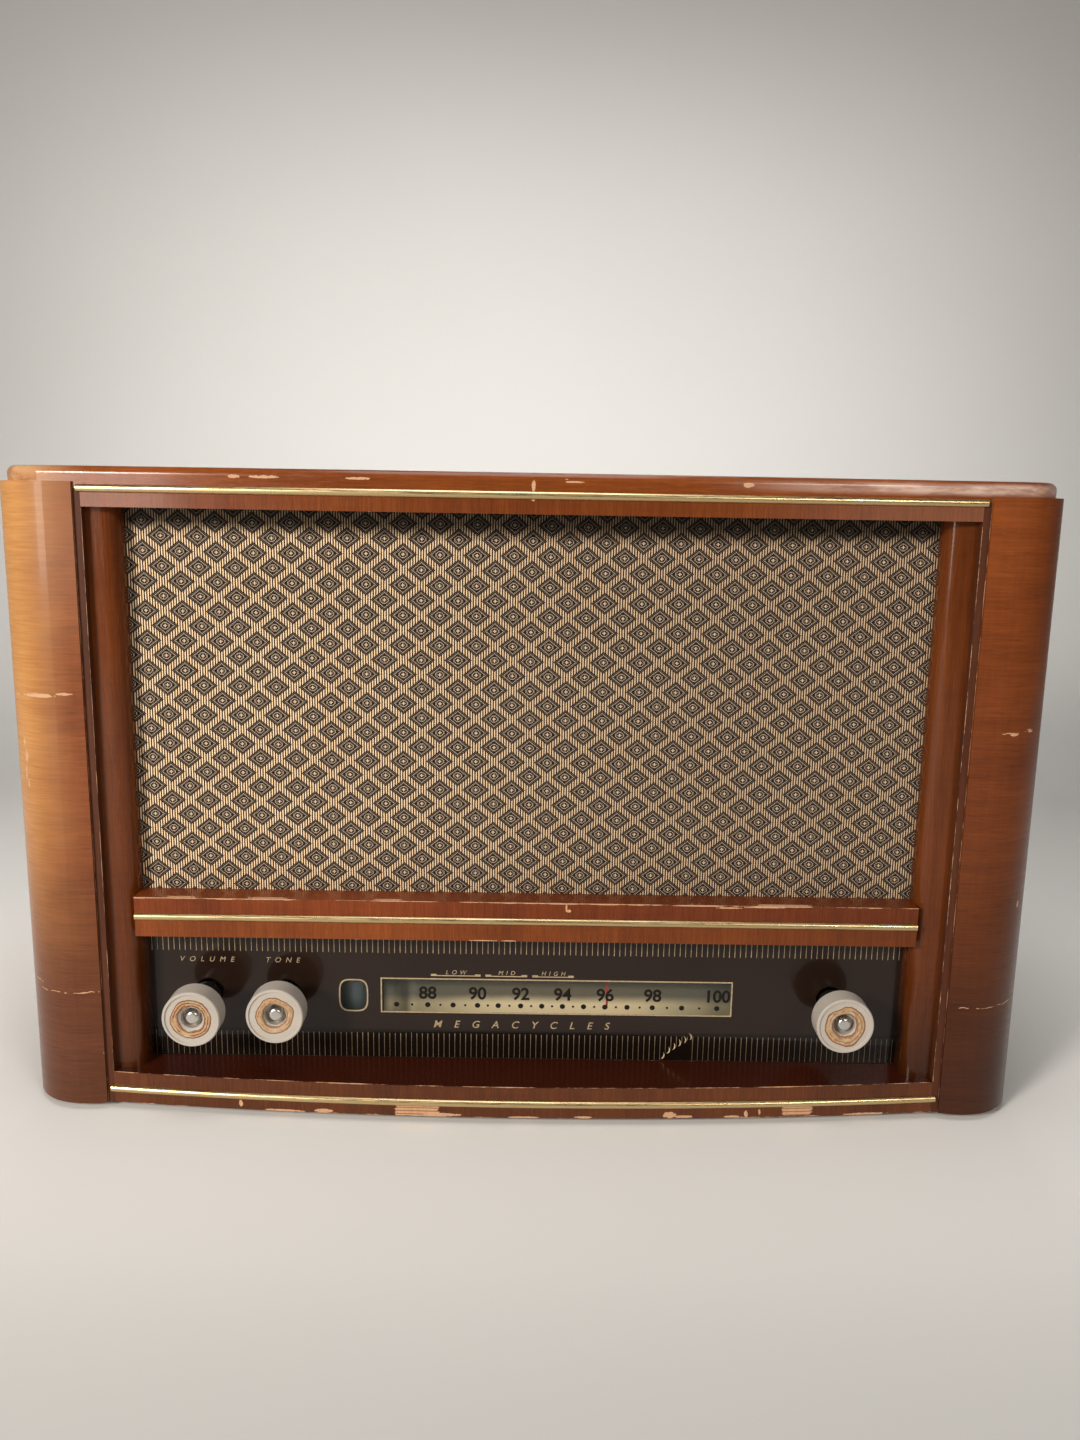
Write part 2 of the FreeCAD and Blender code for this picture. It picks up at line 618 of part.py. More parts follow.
def potentiometer(x, switch_length):
    """Volume or tone control: threaded bush, round case and, on the volume control, the mains switch."""
    y = CHASSIS_Y0 + SHEET
    bush = rod_y(x, CONTROL_Z, 4.75, CHASSIS_Y0 - 8, y)
    case = rod_y(x, CONTROL_Z, 13.5, y, y + 13)
    body = fused(bush, case)
    if switch_length:
        body = fused(body, rod_y(x, CONTROL_Z, 11.5, y + 13, y + 13 + switch_length))
    tags = [box(x - 7 + 6 * k, x - 5 + 6 * k, y + 5, y + 6, CONTROL_Z - 20, CONTROL_Z - 12) for k in range(3)]
    body = fused(body, *tags)
    return body.cut(rod_y(x, CONTROL_Z, SPINDLE_R + RUNNING, CHASSIS_Y0 - 9, y + 10))


def control_nut(x):
    nut = hexagon_y(x, CONTROL_Z, 14.0, CHASSIS_Y0 - 2.6, CHASSIS_Y0)
    return nut.cut(rod_y(x, CONTROL_Z, 4.8, CHASSIS_Y0 - 4, CHASSIS_Y0 + 1))


def write_controls():
    back = CHASSIS_Y0 + SHEET + 9
    write_node("volume_knob", knob(VOLUME_X, VOLUME_FACE_Y))
    write_node("tone_knob", knob(TONE_X, TONE_FACE_Y))
    write_node("tuning_knob", knob(TUNING_X, TUNING_FACE_Y))
    write_node("volume_spindle", spindle(VOLUME_X, VOLUME_FACE_Y, back))
    write_node("tone_spindle", spindle(TONE_X, TONE_FACE_Y, back))
    write_node("tuning_spindle", spindle(TUNING_X, TUNING_FACE_Y, CHASSIS_Y0 + 14))
    write_node("volume_control", potentiometer(VOLUME_X, 9))
    write_node("tone_control", potentiometer(TONE_X, 0))
    write_node("control_nuts", control_nut(VOLUME_X), control_nut(TONE_X))


# ---------------------------------------------------------------- dial
def dial_glass():
    glass = box(-178, 178, GLASS_Y, GLASS_Y + GLASS_T, PLY, SPLIT_Z - 1)
    holes = [rod_y(x, CONTROL_Z, 6.35, GLASS_Y - 1, GLASS_Y + GLASS_T + 1)
             for x in (VOLUME_X, TONE_X, TUNING_X)]
    return minus(glass, *holes)


def dial_backplate():
    """Painted plate behind the scale; its top edge guides the pointer carriage."""
    y0, y1 = BACKPLATE_Y, BACKPLATE_Y + 1.0
    plate = box(-66.6, 118, y0, y1, 14, BACKPLATE_TOP)
    stays = [box(x - 5, x + 5, y1, CHASSIS_Y0, 14, 15.2) for x in (-50, 75)]
    feet = [box(x - 5, x + 5, CHASSIS_Y0 - 1.2, CHASSIS_Y0, 15.2, 27) for x in (-50, 75)]
    return fused(plate, *stays, *feet)


LAMPS = (-25.0, 55.0)
LAMP_Z = 22.5
LAMP_Y = 27.5


def lamp(x):
    """Screw-cap scale lamp lying along X."""
    globe = rod_x(LAMP_Y, LAMP_Z, 4.8, x + 4, x + 15)
    end = [e for e in globe.Edges if e.BoundBox.XMin > x + 14.9]
    globe = globe.makeFillet(4.0, end)
    return fused(globe, rod_x(LAMP_Y, LAMP_Z, 4.0, x - 8, x + 4))


def lamp_holder(x):
    shell = rod_x(LAMP_Y, LAMP_Z, 4.9, x - 12, x - 1).cut(rod_x(LAMP_Y, LAMP_Z, 4.05, x - 8.0, x))
    tab = box(x - 11, x - 3, LAMP_Y + 4.5, BACKPLATE_Y, LAMP_Z - 3, LAMP_Z + 3)
    return fused(shell, tab).cut(rod_x(LAMP_Y, LAMP_Z, 4.05, x - 8.0, x + 1))


def dial_pointer():
    """Carriage astride the backplate's top edge, clipped to the cord, with the pointer in front."""
    x = POINTER_X
    y0, y1 = BACKPLATE_Y - 3.4, BACKPLATE_Y + 4.4
    saddle = box(x - 6, x + 6, y0, y1, BACKPLATE_TOP - 3, BACKPLATE_TOP + 3)
    slot = box(x - 7, x + 7, BACKPLATE_Y - 0.3, BACKPLATE_Y + 1.3, BACKPLATE_TOP - 4, BACKPLATE_TOP + 0.4)
    arm = box(x - 2.5, x + 2.5, y1, CORD_Y - CORD_STEP + 1.6, BACKPLATE_TOP - 3, BACKPLATE_TOP - 1.8)
    clip = box(x - 2.5, x + 2.5, CORD_Y - CORD_STEP - 1.6, CORD_Y - CORD_STEP + 1.6, RUN_Z - 1.4,
               BACKPLATE_TOP - 3)
    hole = rod_x(CORD_Y - CORD_STEP, RUN_Z, CORD_R + 0.1, x - 4, x + 4)
    front = box(x - 2, x + 2, POINTER_Y, y0, BACKPLATE_TOP - 1, BACKPLATE_TOP)
    needle = box(x - 0.45, x + 0.45, POINTER_Y, POINTER_Y + 0.6, 35.8, BACKPLATE_TOP)
    return fused(saddle.cut(slot), arm, clip, front, needle).cut(hole)


def eye_valve():
    """Tuning indicator, standing upright behind its window."""
    return valve(EYE_X, EYE_Y, 58, 16.0)


def eye_bracket():
    """Valve holder of the tuning indicator on its stay from the chassis."""
    holder = rod_z(EYE_X, EYE_Y, 11.4, 11, 16)
    stay = box(EYE_X - 7, EYE_X + 7, EYE_Y, CHASSIS_Y0, 9.8, 11)
    foot_plate = box(EYE_X - 7, EYE_X + 7, CHASSIS_Y0 - 1.2, CHASSIS_Y0, 11, 30)
    return fused(holder, stay, foot_plate)


def write_dial():
    write_node("dial_glass", dial_glass())
    write_node("dial_backplate", dial_backplate())
    write_node("dial_lamps", *[lamp(x) for x in LAMPS])
    write_node("lamp_holders", *[lamp_holder(x) for x in LAMPS])
    write_node("dial_pointer", dial_pointer())
    write_node("tuning_eye", *eye_valve())
    write_node("tuning_eye_bracket", eye_bracket())


# ---------------------------------------------------------------- cord drive and tuning capacitor
GANG_Y0, GANG_Y1 = 60.0, 112.0
VANE_PITCH = 3.2
VANE_T = 0.6
VANE_R = 22.0
SECTION_STARTS = (GANG_Y0 + 8, GANG_Y0 + 29)
ROTOR_VANES = [start + VANE_PITCH * k for start in SECTION_STARTS for k in range(6)]


def pulley(centre):
    x, z = centre
    y0, y1 = CORD_Y - 3, CORD_Y + 3
    groove = CORD_Y - CORD_STEP
    profile = [(1.6, y0), (6.6, y0), (6.6, groove - 1.2), (PULLEY_GROOVE_R, groove - 0.6),
               (PULLEY_GROOVE_R, groove + 0.6), (6.6, groove + 1.2), (6.6, y1 - 1), (3.0, y1 - 1), (3.0, y1),
               (1.6, y1)]
    return turned(profile, x, z)


def pulley_studs():
    """Axles of the two cord pulleys; the left one stands on a plate fixed to the chassis front."""
    studs = []
    for x, z in (LEFT_PULLEY, RIGHT_PULLEY):
        pin = rod_y(x, z, 1.55, CORD_Y - 3.6, CHASSIS_Y0)
        head = rod_y(x, z, 2.6, CORD_Y - 4.4, CORD_Y - 3.3)
        studs.append(fused(pin, head))
    x, z = LEFT_PULLEY
    plate = box(x - 8, x + 8, CHASSIS_Y0 - 1.5, CHASSIS_Y0, 54, z + 7)
    return [fused(studs[0], plate), studs[1]]


def tuning_drum():
    """Grooved drum with a spoked web and a hub."""
    y0, y1 = CORD_Y - 2.6, CORD_Y + 2.6
    groove_r = DRUM_CORD_R - CORD_R - CORD_GAP
    ring = [(42, y0), (47.6, y0), (47.6, y0 + 0.7), (groove_r, y0 + 1.0), (groove_r, y1 - 1.0),
            (47.6, y1 - 0.7), (47.6, y1), (42, y1)]
    drum = turned(ring, TUNING_X, DRUM_Z)
    web = tube_y(TUNING_X, DRUM_Z, 42.5, 3.02, CORD_Y - 0.8, CORD_Y + 0.8)
    holes = []
    for k in range(6):
        a = math.radians(60 * k + 30)
        x, z = TUNING_X + 26 * math.cos(a), DRUM_Z + 26 * math.sin(a)
        holes.append(rod_y(x, z, 9, CORD_Y - 2, CORD_Y + 2))
    hub = tube_y(TUNING_X, DRUM_Z, 7, 3.02, CORD_Y - 2.6, CORD_Y + 5)
    return fused(drum, minus(web, *holes), hub)


def drum_spring():
    """Small tension spring across the drum's web, with straight tails."""
    coil_r, wire_r, pitch, turns = 1.9, 0.3, 0.9, 16
    length = pitch * turns
    helix = Part.makeHelix(pitch, length, coil_r)
    section = Part.Wire(Part.makeCircle(wire_r, V(coil_r, 0, 0), V(0, 1, 0)))
    coil = Part.Wire(helix).makePipeShell([section], True, True)
    coil.translate(V(TUNING_X + 13, CORD_Y - 3.4, DRUM_Z - length / 2))
    return coil


def tangent_points(a, ra, b, rb, side_a, side_b):
    """Tangent points of the belt line from circle a to circle b; side is +1 where the belt turns
    anticlockwise round a circle (seen from the front) and -1 where it turns clockwise."""
    dx, dz = b[0] - a[0], b[1] - a[1]
    d = math.hypot(dx, dz)
    base = math.atan2(dz, dx)
    off = math.acos((side_a * ra - side_b * rb) / d)
    angle = base - off
    n = (math.cos(angle), math.sin(angle))
    return ((a[0] + side_a * ra * n[0], a[1] + side_a * ra * n[1]),
            (b[0] + side_b * rb * n[0], b[1] + side_b * rb * n[1]))


def cord_run(p, q, yp, yq):
    start, end = V(p[0], yp, p[1]), V(q[0], yq, q[1])
    return Part.makeCylinder(CORD_R, (end - start).Length, start, end - start)


def cord_bend(centre, r, start, end, turn, y):
    """The cord round a circle from start to end, turning anticlockwise (+1) or clockwise (-1)."""
    a0 = math.atan2(start[1] - centre[1], start[0] - centre[0])
    a1 = math.atan2(end[1] - centre[1], end[0] - centre[0])
    sweep = math.degrees((a1 - a0) * turn) % 360
    section = Part.Face(Part.Wire(Part.makeCircle(CORD_R, V(start[0], y, start[1]),
                                                  V(-math.sin(a0), 0, math.cos(a0)))))
    return section.revolve(V(centre[0], y, centre[1]), V(0, -turn, 0), sweep)


def spindle_turn(start, end, y0, y1):
    """The cord's one turn round the spindle, stepping from y0 to y1 as it goes clockwise."""
    cx, cz, r = TUNING_X, CONTROL_Z, SPINDLE_CORD_R
    a0 = math.degrees(math.atan2(start[1] - cz, start[0] - cx))
    a1 = math.degrees(math.atan2(end[1] - cz, end[0] - cx))
    sweep = (a0 - a1) % 360
    pitch = (y1 - y0) * 360 / sweep
    helix = Part.makeHelix(pitch, y1 - y0, r)
    section = Part.Wire(Part.makeCircle(CORD_R, V(r, 0, 0), V(0, 1, 0)))
    turn = Part.Wire(helix).makePipeShell([section], True, True)
    turn.rotate(V(0, 0, 0), V(1, 0, 0), -90)
    turn.rotate(V(0, 0, 0), V(0, 1, 0), -a0)
    turn.translate(V(cx, y0, cz))
    return turn


def drive_cord():
    """The whole loop: pointer run, right pulley, one turn on the spindle, drum and left pulley."""
    spindle_c, drum_c = (TUNING_X, CONTROL_Z), (TUNING_X, DRUM_Z)
    pr, sr, dr = PULLEY_CORD_R, SPINDLE_CORD_R, DRUM_CORD_R
    y0, y1 = CORD_Y - CORD_STEP, CORD_Y + CORD_STEP
    run_a, run_b = tangent_points(LEFT_PULLEY, pr, RIGHT_PULLEY, pr, 1, -1)
    down_a, down_b = tangent_points(RIGHT_PULLEY, pr, spindle_c, sr, -1, -1)
    up_a, up_b = tangent_points(spindle_c, sr, drum_c, dr, -1, 1)
    back_a, back_b = tangent_points(drum_c, dr, LEFT_PULLEY, pr, 1, 1)
    return [
        cord_run(run_a, run_b, y0, y0),
        cord_bend(RIGHT_PULLEY, pr, run_b, down_a, -1, y0),
        cord_run(down_a, down_b, y0, y0),
        spindle_turn(down_b, up_a, y0, y1),
        cord_run(up_a, up_b, y1, y1),
        cord_bend(drum_c, dr, up_b, back_a, 1, y1),
        cord_run(back_a, back_b, y1, y0),
        cord_bend(LEFT_PULLEY, pr, back_b, run_a, 1, y0),
    ]


def print_cord(solids):
    """The cord's length along its middle, and the radii it is bent to."""
    length = sum(solid.Volume for solid in solids) / (math.pi * CORD_R ** 2)
    print(f"drive cord {length:.1f} mm long and {2 * CORD_R:.1f} mm thick, with bends of radius "
          f"{PULLEY_CORD_R:.2f} mm at the pulleys, {SPINDLE_CORD_R:.2f} mm at the spindle and "
          f"{DRUM_CORD_R:.1f} mm at the drum")


def gang_frame():
    """Frame of the tuning capacitor: base and two end plates with the shaft's bearings."""
    x0, x1 = TUNING_X - 27, TUNING_X + 30
    base = box(x0, x1, GANG_Y0, GANG_Y1, CHASSIS_Z, CHASSIS_Z + 1.5)
    ends = [box(x0, x1, y, y + 1.5, CHASSIS_Z, DRUM_Z + 12) for y in (GANG_Y0, GANG_Y1 - 1.5)]
    frame = fused(base, *ends)
    return frame.cut(rod_y(TUNING_X, DRUM_Z, 3.0 + RUNNING, GANG_Y0 - 2, GANG_Y1 + 2))


def half_disc(y, r, thickness):
    disc = rod_y(TUNING_X, DRUM_Z, r, y, y + thickness)
    return disc.cut(box(TUNING_X - r - 1, TUNING_X + r + 1, y - 1, y + thickness + 1, DRUM_Z, DRUM_Z + r + 1))


def gang_rotor():
    """Shaft with two sets of half-round vanes, half meshed at rest."""
    shaft = rod_y(TUNING_X, DRUM_Z, 3.0, CORD_Y - 2.6, GANG_Y1 + 2)
    return fused(shaft, *[half_disc(y, VANE_R, VANE_T) for y in ROTOR_VANES])


def gang_stator():
    """Fixed vanes on two bars, on the right-hand side of the shaft."""
    x0, x1 = TUNING_X + 5, TUNING_X + 27
    groups = []
    for first in SECTION_STARTS:
        ys = [first - VANE_PITCH / 2 + VANE_PITCH * k for k in range(7)]
        vanes = [box(x0, x1, y, y + VANE_T, DRUM_Z - 23, DRUM_Z + 8) for y in ys]
        bars = [box(x1 - 2.5, x1, ys[0], ys[-1] + VANE_T, z, z + 3) for z in (DRUM_Z - 22, DRUM_Z + 4)]
        groups.append(fused(vanes[0], *vanes[1:], *bars))
    return groups


def write_drive():
    write_node("left_cord_pulley", pulley(LEFT_PULLEY))
    write_node("right_cord_pulley", pulley(RIGHT_PULLEY))
    write_node("pulley_studs", *pulley_studs())
    write_node("tuning_drum", tuning_drum())
    write_node("drum_spring", drum_spring())
    cord = drive_cord()
    write_node("drive_cord", *cord)
    print_cord(cord)
    write_node("gang_frame", gang_frame())
    write_node("gang_rotor", gang_rotor())
    write_node("gang_stator", *gang_stator())


os.makedirs("parts", exist_ok=True)
write_cabinet()
write_speaker()
write_chassis()
write_controls()
write_dial()
write_drive()
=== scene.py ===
"""The looks of a 1950s table radio: stained veneer, woven grille cloth, gold-printed scale glass, brass
strips and knobs that have lost their caps. Metres, in the part's own frame; most sizes are written in
millimetres and go through MM, and the shader graphs reckon in millimetres. The front is towards -Y."""

import math
import random

import bmesh
import bpy
from mathutils import Matrix, Vector, noise


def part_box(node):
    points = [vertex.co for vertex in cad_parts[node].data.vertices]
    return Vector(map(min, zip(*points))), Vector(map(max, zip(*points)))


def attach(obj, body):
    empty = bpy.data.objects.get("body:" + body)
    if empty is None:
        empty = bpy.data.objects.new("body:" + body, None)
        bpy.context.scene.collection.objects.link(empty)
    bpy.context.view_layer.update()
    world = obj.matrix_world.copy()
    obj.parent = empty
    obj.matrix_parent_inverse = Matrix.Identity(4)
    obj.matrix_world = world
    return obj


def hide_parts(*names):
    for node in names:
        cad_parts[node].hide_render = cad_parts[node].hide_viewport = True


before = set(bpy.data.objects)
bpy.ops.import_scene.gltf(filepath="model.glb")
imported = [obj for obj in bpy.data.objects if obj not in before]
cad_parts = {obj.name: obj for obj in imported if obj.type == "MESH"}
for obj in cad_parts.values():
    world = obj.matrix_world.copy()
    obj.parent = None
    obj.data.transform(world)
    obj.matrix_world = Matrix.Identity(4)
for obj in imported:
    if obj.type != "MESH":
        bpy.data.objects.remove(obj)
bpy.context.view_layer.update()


MM = 0.001
PER_METRE = 1000              # millimetres in a metre


def to_mm(metres):
    return metres * PER_METRE


# ------------ places taken from the frame
GLASS_LOW, GLASS_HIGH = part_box("dial_glass")
CLOTH_LOW, CLOTH_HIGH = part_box("speaker_cloth")
MID_RAIL_LOW, MID_RAIL_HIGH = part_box("middle_rail")
PLINTH_LOW, PLINTH_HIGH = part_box("plinth_rail")
TOP_RAIL_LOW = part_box("top_rail")[0]
TOP_LOW, TOP_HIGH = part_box("top_board")
SHELL_LOW, SHELL_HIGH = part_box("right_side_shell")
UNDERSIDE = PLINTH_LOW.z
SHELF = PLINTH_HIGH.z
SCALE_FRONT = GLASS_LOW.y
CONTROLS = ("volume", "tone", "tuning")


def middle(node):
    low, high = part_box(node)
    return (low + high) / 2


# ------------ shader graphs
class Graph:
    """A material's node tree, built by small calls that return sockets."""

    def __init__(self, name, **settings):
        self.material = bpy.data.materials.new(name)
        self.material.use_nodes = True
        self.tree = self.material.node_tree
        self.shader = self.tree.nodes["Principled BSDF"]
        self.set(**settings)
        position = self.node("ShaderNodeTexCoord").outputs["Object"]
        self.mm = self.vector("MULTIPLY", position, (PER_METRE, PER_METRE, PER_METRE))
        split = self.node("ShaderNodeSeparateXYZ")
        self.plug(split.inputs[0], self.mm)
        self.x, self.y, self.z = split.outputs

    def node(self, kind, **settings):
        made = self.tree.nodes.new(kind)
        for key, value in settings.items():
            setattr(made, key, value)
        return made

    def plug(self, socket, value):
        if isinstance(value, bpy.types.NodeSocket):
            self.tree.links.new(value, socket)
        elif isinstance(value, tuple) and len(value) == 3 and socket.type == "RGBA":
            socket.default_value = (*value, 1)
        else:
            socket.default_value = value

    def set(self, **settings):
        """Shader inputs by name, with underscores for spaces."""
        for key, value in settings.items():
            self.plug(self.shader.inputs[key.replace("_", " ")], value)

    def feed(self, made, *values, **named):
        """Fills a node's inputs in order or by name and returns its first output."""
        for socket, value in zip(made.inputs, values):
            self.plug(socket, value)
        for key, value in named.items():
            self.plug(made.inputs[key], value)
        return made.outputs[0]

    def math(self, operation, a, b=0.0, c=0.0, clamp=False):
        return self.feed(self.node("ShaderNodeMath", operation=operation, use_clamp=clamp), a, b, c)

    def vector(self, operation, a, b):
        return self.feed(self.node("ShaderNodeVectorMath", operation=operation), a, b)

    def join(self, x, y, z):
        return self.feed(self.node("ShaderNodeCombineXYZ"), x, y, z)

    def noise(self, scale, stretch=(1, 1, 1), detail=3.0, rough=0.5, twist=0.0, shift=0.0):
        """Noise in 0..1 over object space in mm: scale is features per mm before stretch."""
        where = self.vector("MULTIPLY", self.mm, tuple(scale * s for s in stretch))
        where = self.vector("ADD", where, (shift, shift * 0.7, shift * 1.3))
        return self.feed(self.node("ShaderNodeTexNoise"), Vector=where, Scale=1.0, Detail=detail,
                         Roughness=rough, Distortion=twist)

    def ramp(self, value, low, high, out_low=0.0, out_high=1.0, smooth=True):
        made = self.node("ShaderNodeMapRange", interpolation_type="SMOOTHSTEP" if smooth else "LINEAR")
        return self.feed(made, value, low, high, out_low, out_high)

    def mix(self, fraction, a, b, blend="MIX"):
        """Colours only: this node keeps them in its inputs 6 and 7 and its output 2."""
        made = self.node("ShaderNodeMix", data_type="RGBA", blend_type=blend)
        for place, value in ((0, fraction), (6, a), (7, b)):
            self.plug(made.inputs[place], value)
        return made.outputs[2]

    def vary(self, value, low=0.0, high=1.0):
        """A noise's usual run, from 0.3 to 0.7, spread over low to high."""
        return self.ramp(value, 0.3, 0.7, low, high)

    def tinted(self, colour, tint):
        return self.mix(1.0, colour, tint, "MULTIPLY")

    def shaded(self, colour, factor):
        return self.tinted(colour, self.join(factor, factor, factor))

    def chain(self, operation, values, clamp=False):
        found = values[0]
        for value in values[1:]:
            found = self.math(operation, found, value, clamp=clamp)
        return found

    def plus(self, *values, clamp=False):
        return self.chain("ADD", values, clamp)

    def times(self, *values):
        return self.chain("MULTIPLY", values)

    def most(self, *values):
        return self.chain("MAXIMUM", values)

    def minus(self, a, b):
        return self.math("SUBTRACT", a, b)

    def below(self, value, limit):
        return self.math("LESS_THAN", value, limit)

    def off(self, value, at):
        return self.math("ABSOLUTE", self.minus(value, at))

    def bump(self, height, distance_mm, strength):
        made = self.node("ShaderNodeBump")
        self.set(Normal=self.feed(made, Height=height, Distance=distance_mm * MM, Strength=strength))

    def wander(self, reach, *scale, **settings):
        """Noise as an offset of up to reach either way."""
        return self.times(self.minus(self.noise(*scale, **settings), 0.5), 2 * reach)

    def ragged(self, size_mm, reach_mm, shift):
        """An offset in mm for torn outlines."""
        return self.wander(reach_mm, 1 / size_mm, detail=4.0, rough=0.65, shift=shift)

    def arris_wear(self, distance, width_mm, gaps_mm, amount, shift):
        """1 on broken worn patches within width_mm of an edge, from the distance to it in mm."""
        patch = self.noise(1 / gaps_mm, detail=6.0, rough=0.68, shift=shift)
        reach = self.ramp(patch, 1 - amount, 1 - amount + 0.24, 0.0, width_mm)
        return self.below(distance, reach)

    def chip(self, a, b, at_a, at_b, half_a, half_b, ragged):
        """1 inside a torn oval chip centred at (at_a, at_b) in mm."""
        da = self.times(self.minus(a, at_a), 1 / half_a)
        db = self.times(self.minus(b, at_b), 1 / half_b)
        reach = self.plus(self.times(da, da), self.times(db, db))
        return self.below(self.plus(reach, ragged), 1.0)

    def hairline(self, a, b, start, end, at, rise, shift):
        """1 on a fine wandering crack from a = start, b = at to a = end, b = at + rise."""
        wander = self.wander(2.5, 0.12, detail=5.0, shift=shift)
        slope = self.times(self.minus(a, start), rise / (end - start))
        path = self.plus(slope, at, wander)
        thin = self.below(self.off(b, path), 0.20)
        within = self.below(self.off(a, (start + end) / 2), abs(end - start) / 2)
        broken = self.math("GREATER_THAN", self.noise(0.45, shift=shift + 3), 0.44)
        return self.times(thin, within, broken)


# ------------ wood
def wood(name, grain, stain, seed, figure, gloss=0.32, wear=None, fade=None, coat=0.34):
    """Veneer with a (dark, light) stain; grain is the stretch of the pattern along its fibres."""
    dark, light = stain
    g = Graph(name, Specular_IOR_Level=0.19, Coat_Weight=coat, Coat_Roughness=0.12, Coat_IOR=1.4)
    fibres = g.noise(1.9, grain, detail=5.0, rough=0.62, shift=seed)
    bands = g.noise(0.11, grain, twist=0.5, shift=seed + 7)
    pores = g.ramp(g.noise(3.3, grain, detail=2.0, shift=seed + 3), 0.60, 0.72)
    cloudy = g.noise(0.016, detail=2.0, shift=seed + 11)
    across = tuple(1.0 if s < 0.5 else 0.12 for s in grain)
    cross = g.noise(0.5, across, shift=seed + 17)
    value = g.plus(g.times(bands, figure), g.times(fibres, 0.42), g.times(cross, 0.16),
                   g.times(cloudy, 0.5))
    colour = g.mix(g.ramp(value, 0.40, 1.16, smooth=False), dark, light)
    streak = g.ramp(g.noise(0.9, grain, detail=6.0, rough=0.7, shift=seed + 29), 0.35, 0.68, 0.86, 1.08)
    colour = g.shaded(colour, streak)
    colour = g.mix(g.times(pores, 0.20), colour, tuple(c * 0.4 for c in dark))
    if fade:
        colour = fade(g, colour)
    scuffs = g.ramp(g.noise(0.35, (1, 1, 0.25), detail=6.0, rough=0.75, shift=seed + 23), 0.66, 0.80)
    colour = g.mix(g.times(scuffs, 0.12), colour, (0.42, 0.22, 0.12))
    rough = g.plus(g.vary(fibres, gloss - 0.05, gloss + 0.08), g.times(scuffs, 0.2))
    height = g.plus(g.times(fibres, 0.6), g.times(pores, -0.5))
    if wear:
        worn = wear(g)
        bare = g.mix(g.noise(1.2, grain, detail=4.0, shift=seed), BARE_DARK, BARE_LIGHT)
        colour = g.mix(worn, colour, bare)
        rough = g.plus(rough, g.times(worn, 0.4), clamp=True)
        height = g.minus(height, g.times(worn, 3.0))
        g.set(Coat_Weight=g.minus(coat, g.times(worn, coat)))
    g.set(Base_Color=colour, Roughness=rough)
    g.bump(height, 0.05, 0.6)
    return g.material


ALONG_X = (0.05, 1.0, 1.0)
ALONG_Z = (1.0, 1.0, 0.05)
ROUND_CORNER = (0.045, 0.045, 1.0)
STAIN = ((0.098, 0.019, 0.004), (0.332, 0.083, 0.014))
LEFT_STAIN = ((0.120, 0.029, 0.010), (0.365, 0.108, 0.030))
JAMB_STAIN = [tuple(0.56 * c for c in colour) for colour in STAIN]
LIPPING_STAIN = ((0.050, 0.013, 0.005), (0.120, 0.036, 0.014))
BARE_PLY = ((0.30, 0.16, 0.075), (0.52, 0.33, 0.17))
BARE_DARK = (0.46, 0.21, 0.095)
BARE_LIGHT = (0.66, 0.42, 0.26)
BOW_RADIUS = 1753.0           # mm, of the rails' front
PLY = 1.5                     # mm, one layer of the split rail


def left_pillar_fade(g, colour):
    """The outer part has bleached to orange, the head has a painted soft highlight and the foot is darker.
    """
    blotch = g.wander(13, 0.02, shift=31)
    low = to_mm(SHELL_HIGH.x) - 30
    bleached = g.ramp(g.plus(g.times(g.x, -1), blotch), low - 8, low + 26)
    bottom = g.ramp(g.plus(g.z, g.times(blotch, 2)), 30, 150)
    front = to_mm(SHELL_LOW.y)
    strength = g.ramp(g.y, front + 15, front + 120, 0.82, 0.25)
    # Painted soft highlight: a grey haze over the head of the pillar.
    colour = g.mix(g.ramp(g.z, 180, 256, 0.0, 0.28), colour, (0.44, 0.25, 0.16))
    streaks = g.noise(1.3, ROUND_CORNER, detail=5.0, rough=0.6, shift=71)
    pale = g.mix(g.vary(streaks), (0.51, 0.238, 0.070), (0.66, 0.325, 0.102))
    colour = g.mix(g.times(bleached, bottom, strength), colour, pale)
    return g.shaded(colour, g.ramp(g.z, 0, 170, 0.42, 1.0))


def right_pillar_fade(g, colour):
    return g.shaded(colour, g.ramp(g.z, 0, 210, 0.26, 0.97))


def shell_wear(sign, chips, cracks):
    """Chips are (x, z, half width, half height) and cracks (x from, x to, z, rise), with x outwards."""
    def apply(g):
        out = g.times(g.x, sign)
        rim = g.arris_wear(g.off(g.z, to_mm(UNDERSIDE)), 1.2, 10, 0.44, 3)
        top = g.arris_wear(g.off(g.z, to_mm(SHELL_HIGH.z)), 0.6, 12, 0.46, 5)
        ragged = g.ragged(1.6, 1.5, 9)
        spots = [g.chip(out, g.z, x, z, a, b, ragged) for x, z, a, b in chips]
        lines = [g.hairline(out, g.z, *crack, shift=13 * k) for k, crack in enumerate(cracks)]
        fine = g.noise(1.3, (1, 1, 0.55), detail=2.0, rough=0.6, shift=41)
        speckled = g.ramp(g.noise(0.06, (1, 1, 0.4), shift=43), 0.54, 0.62)
        specks = g.times(g.ramp(fine, 0.745, 0.76), speckled)
        front = g.below(g.y, to_mm(SHELL_LOW.y) + 26)
        return g.times(g.most(rim, top, specks, *spots, *lines), g.most(front, rim))
    return apply


def above(base, places):
    """The same (x, z, ...) places, with z counted from the base height."""
    return [(x, base + z, *rest) for x, z, *rest in places]


def bow_line(g, front):
    """How far back the bowed front stands at each x, from its foremost point."""
    return g.plus(g.times(g.x, g.x, 0.5 / BOW_RADIUS), front)


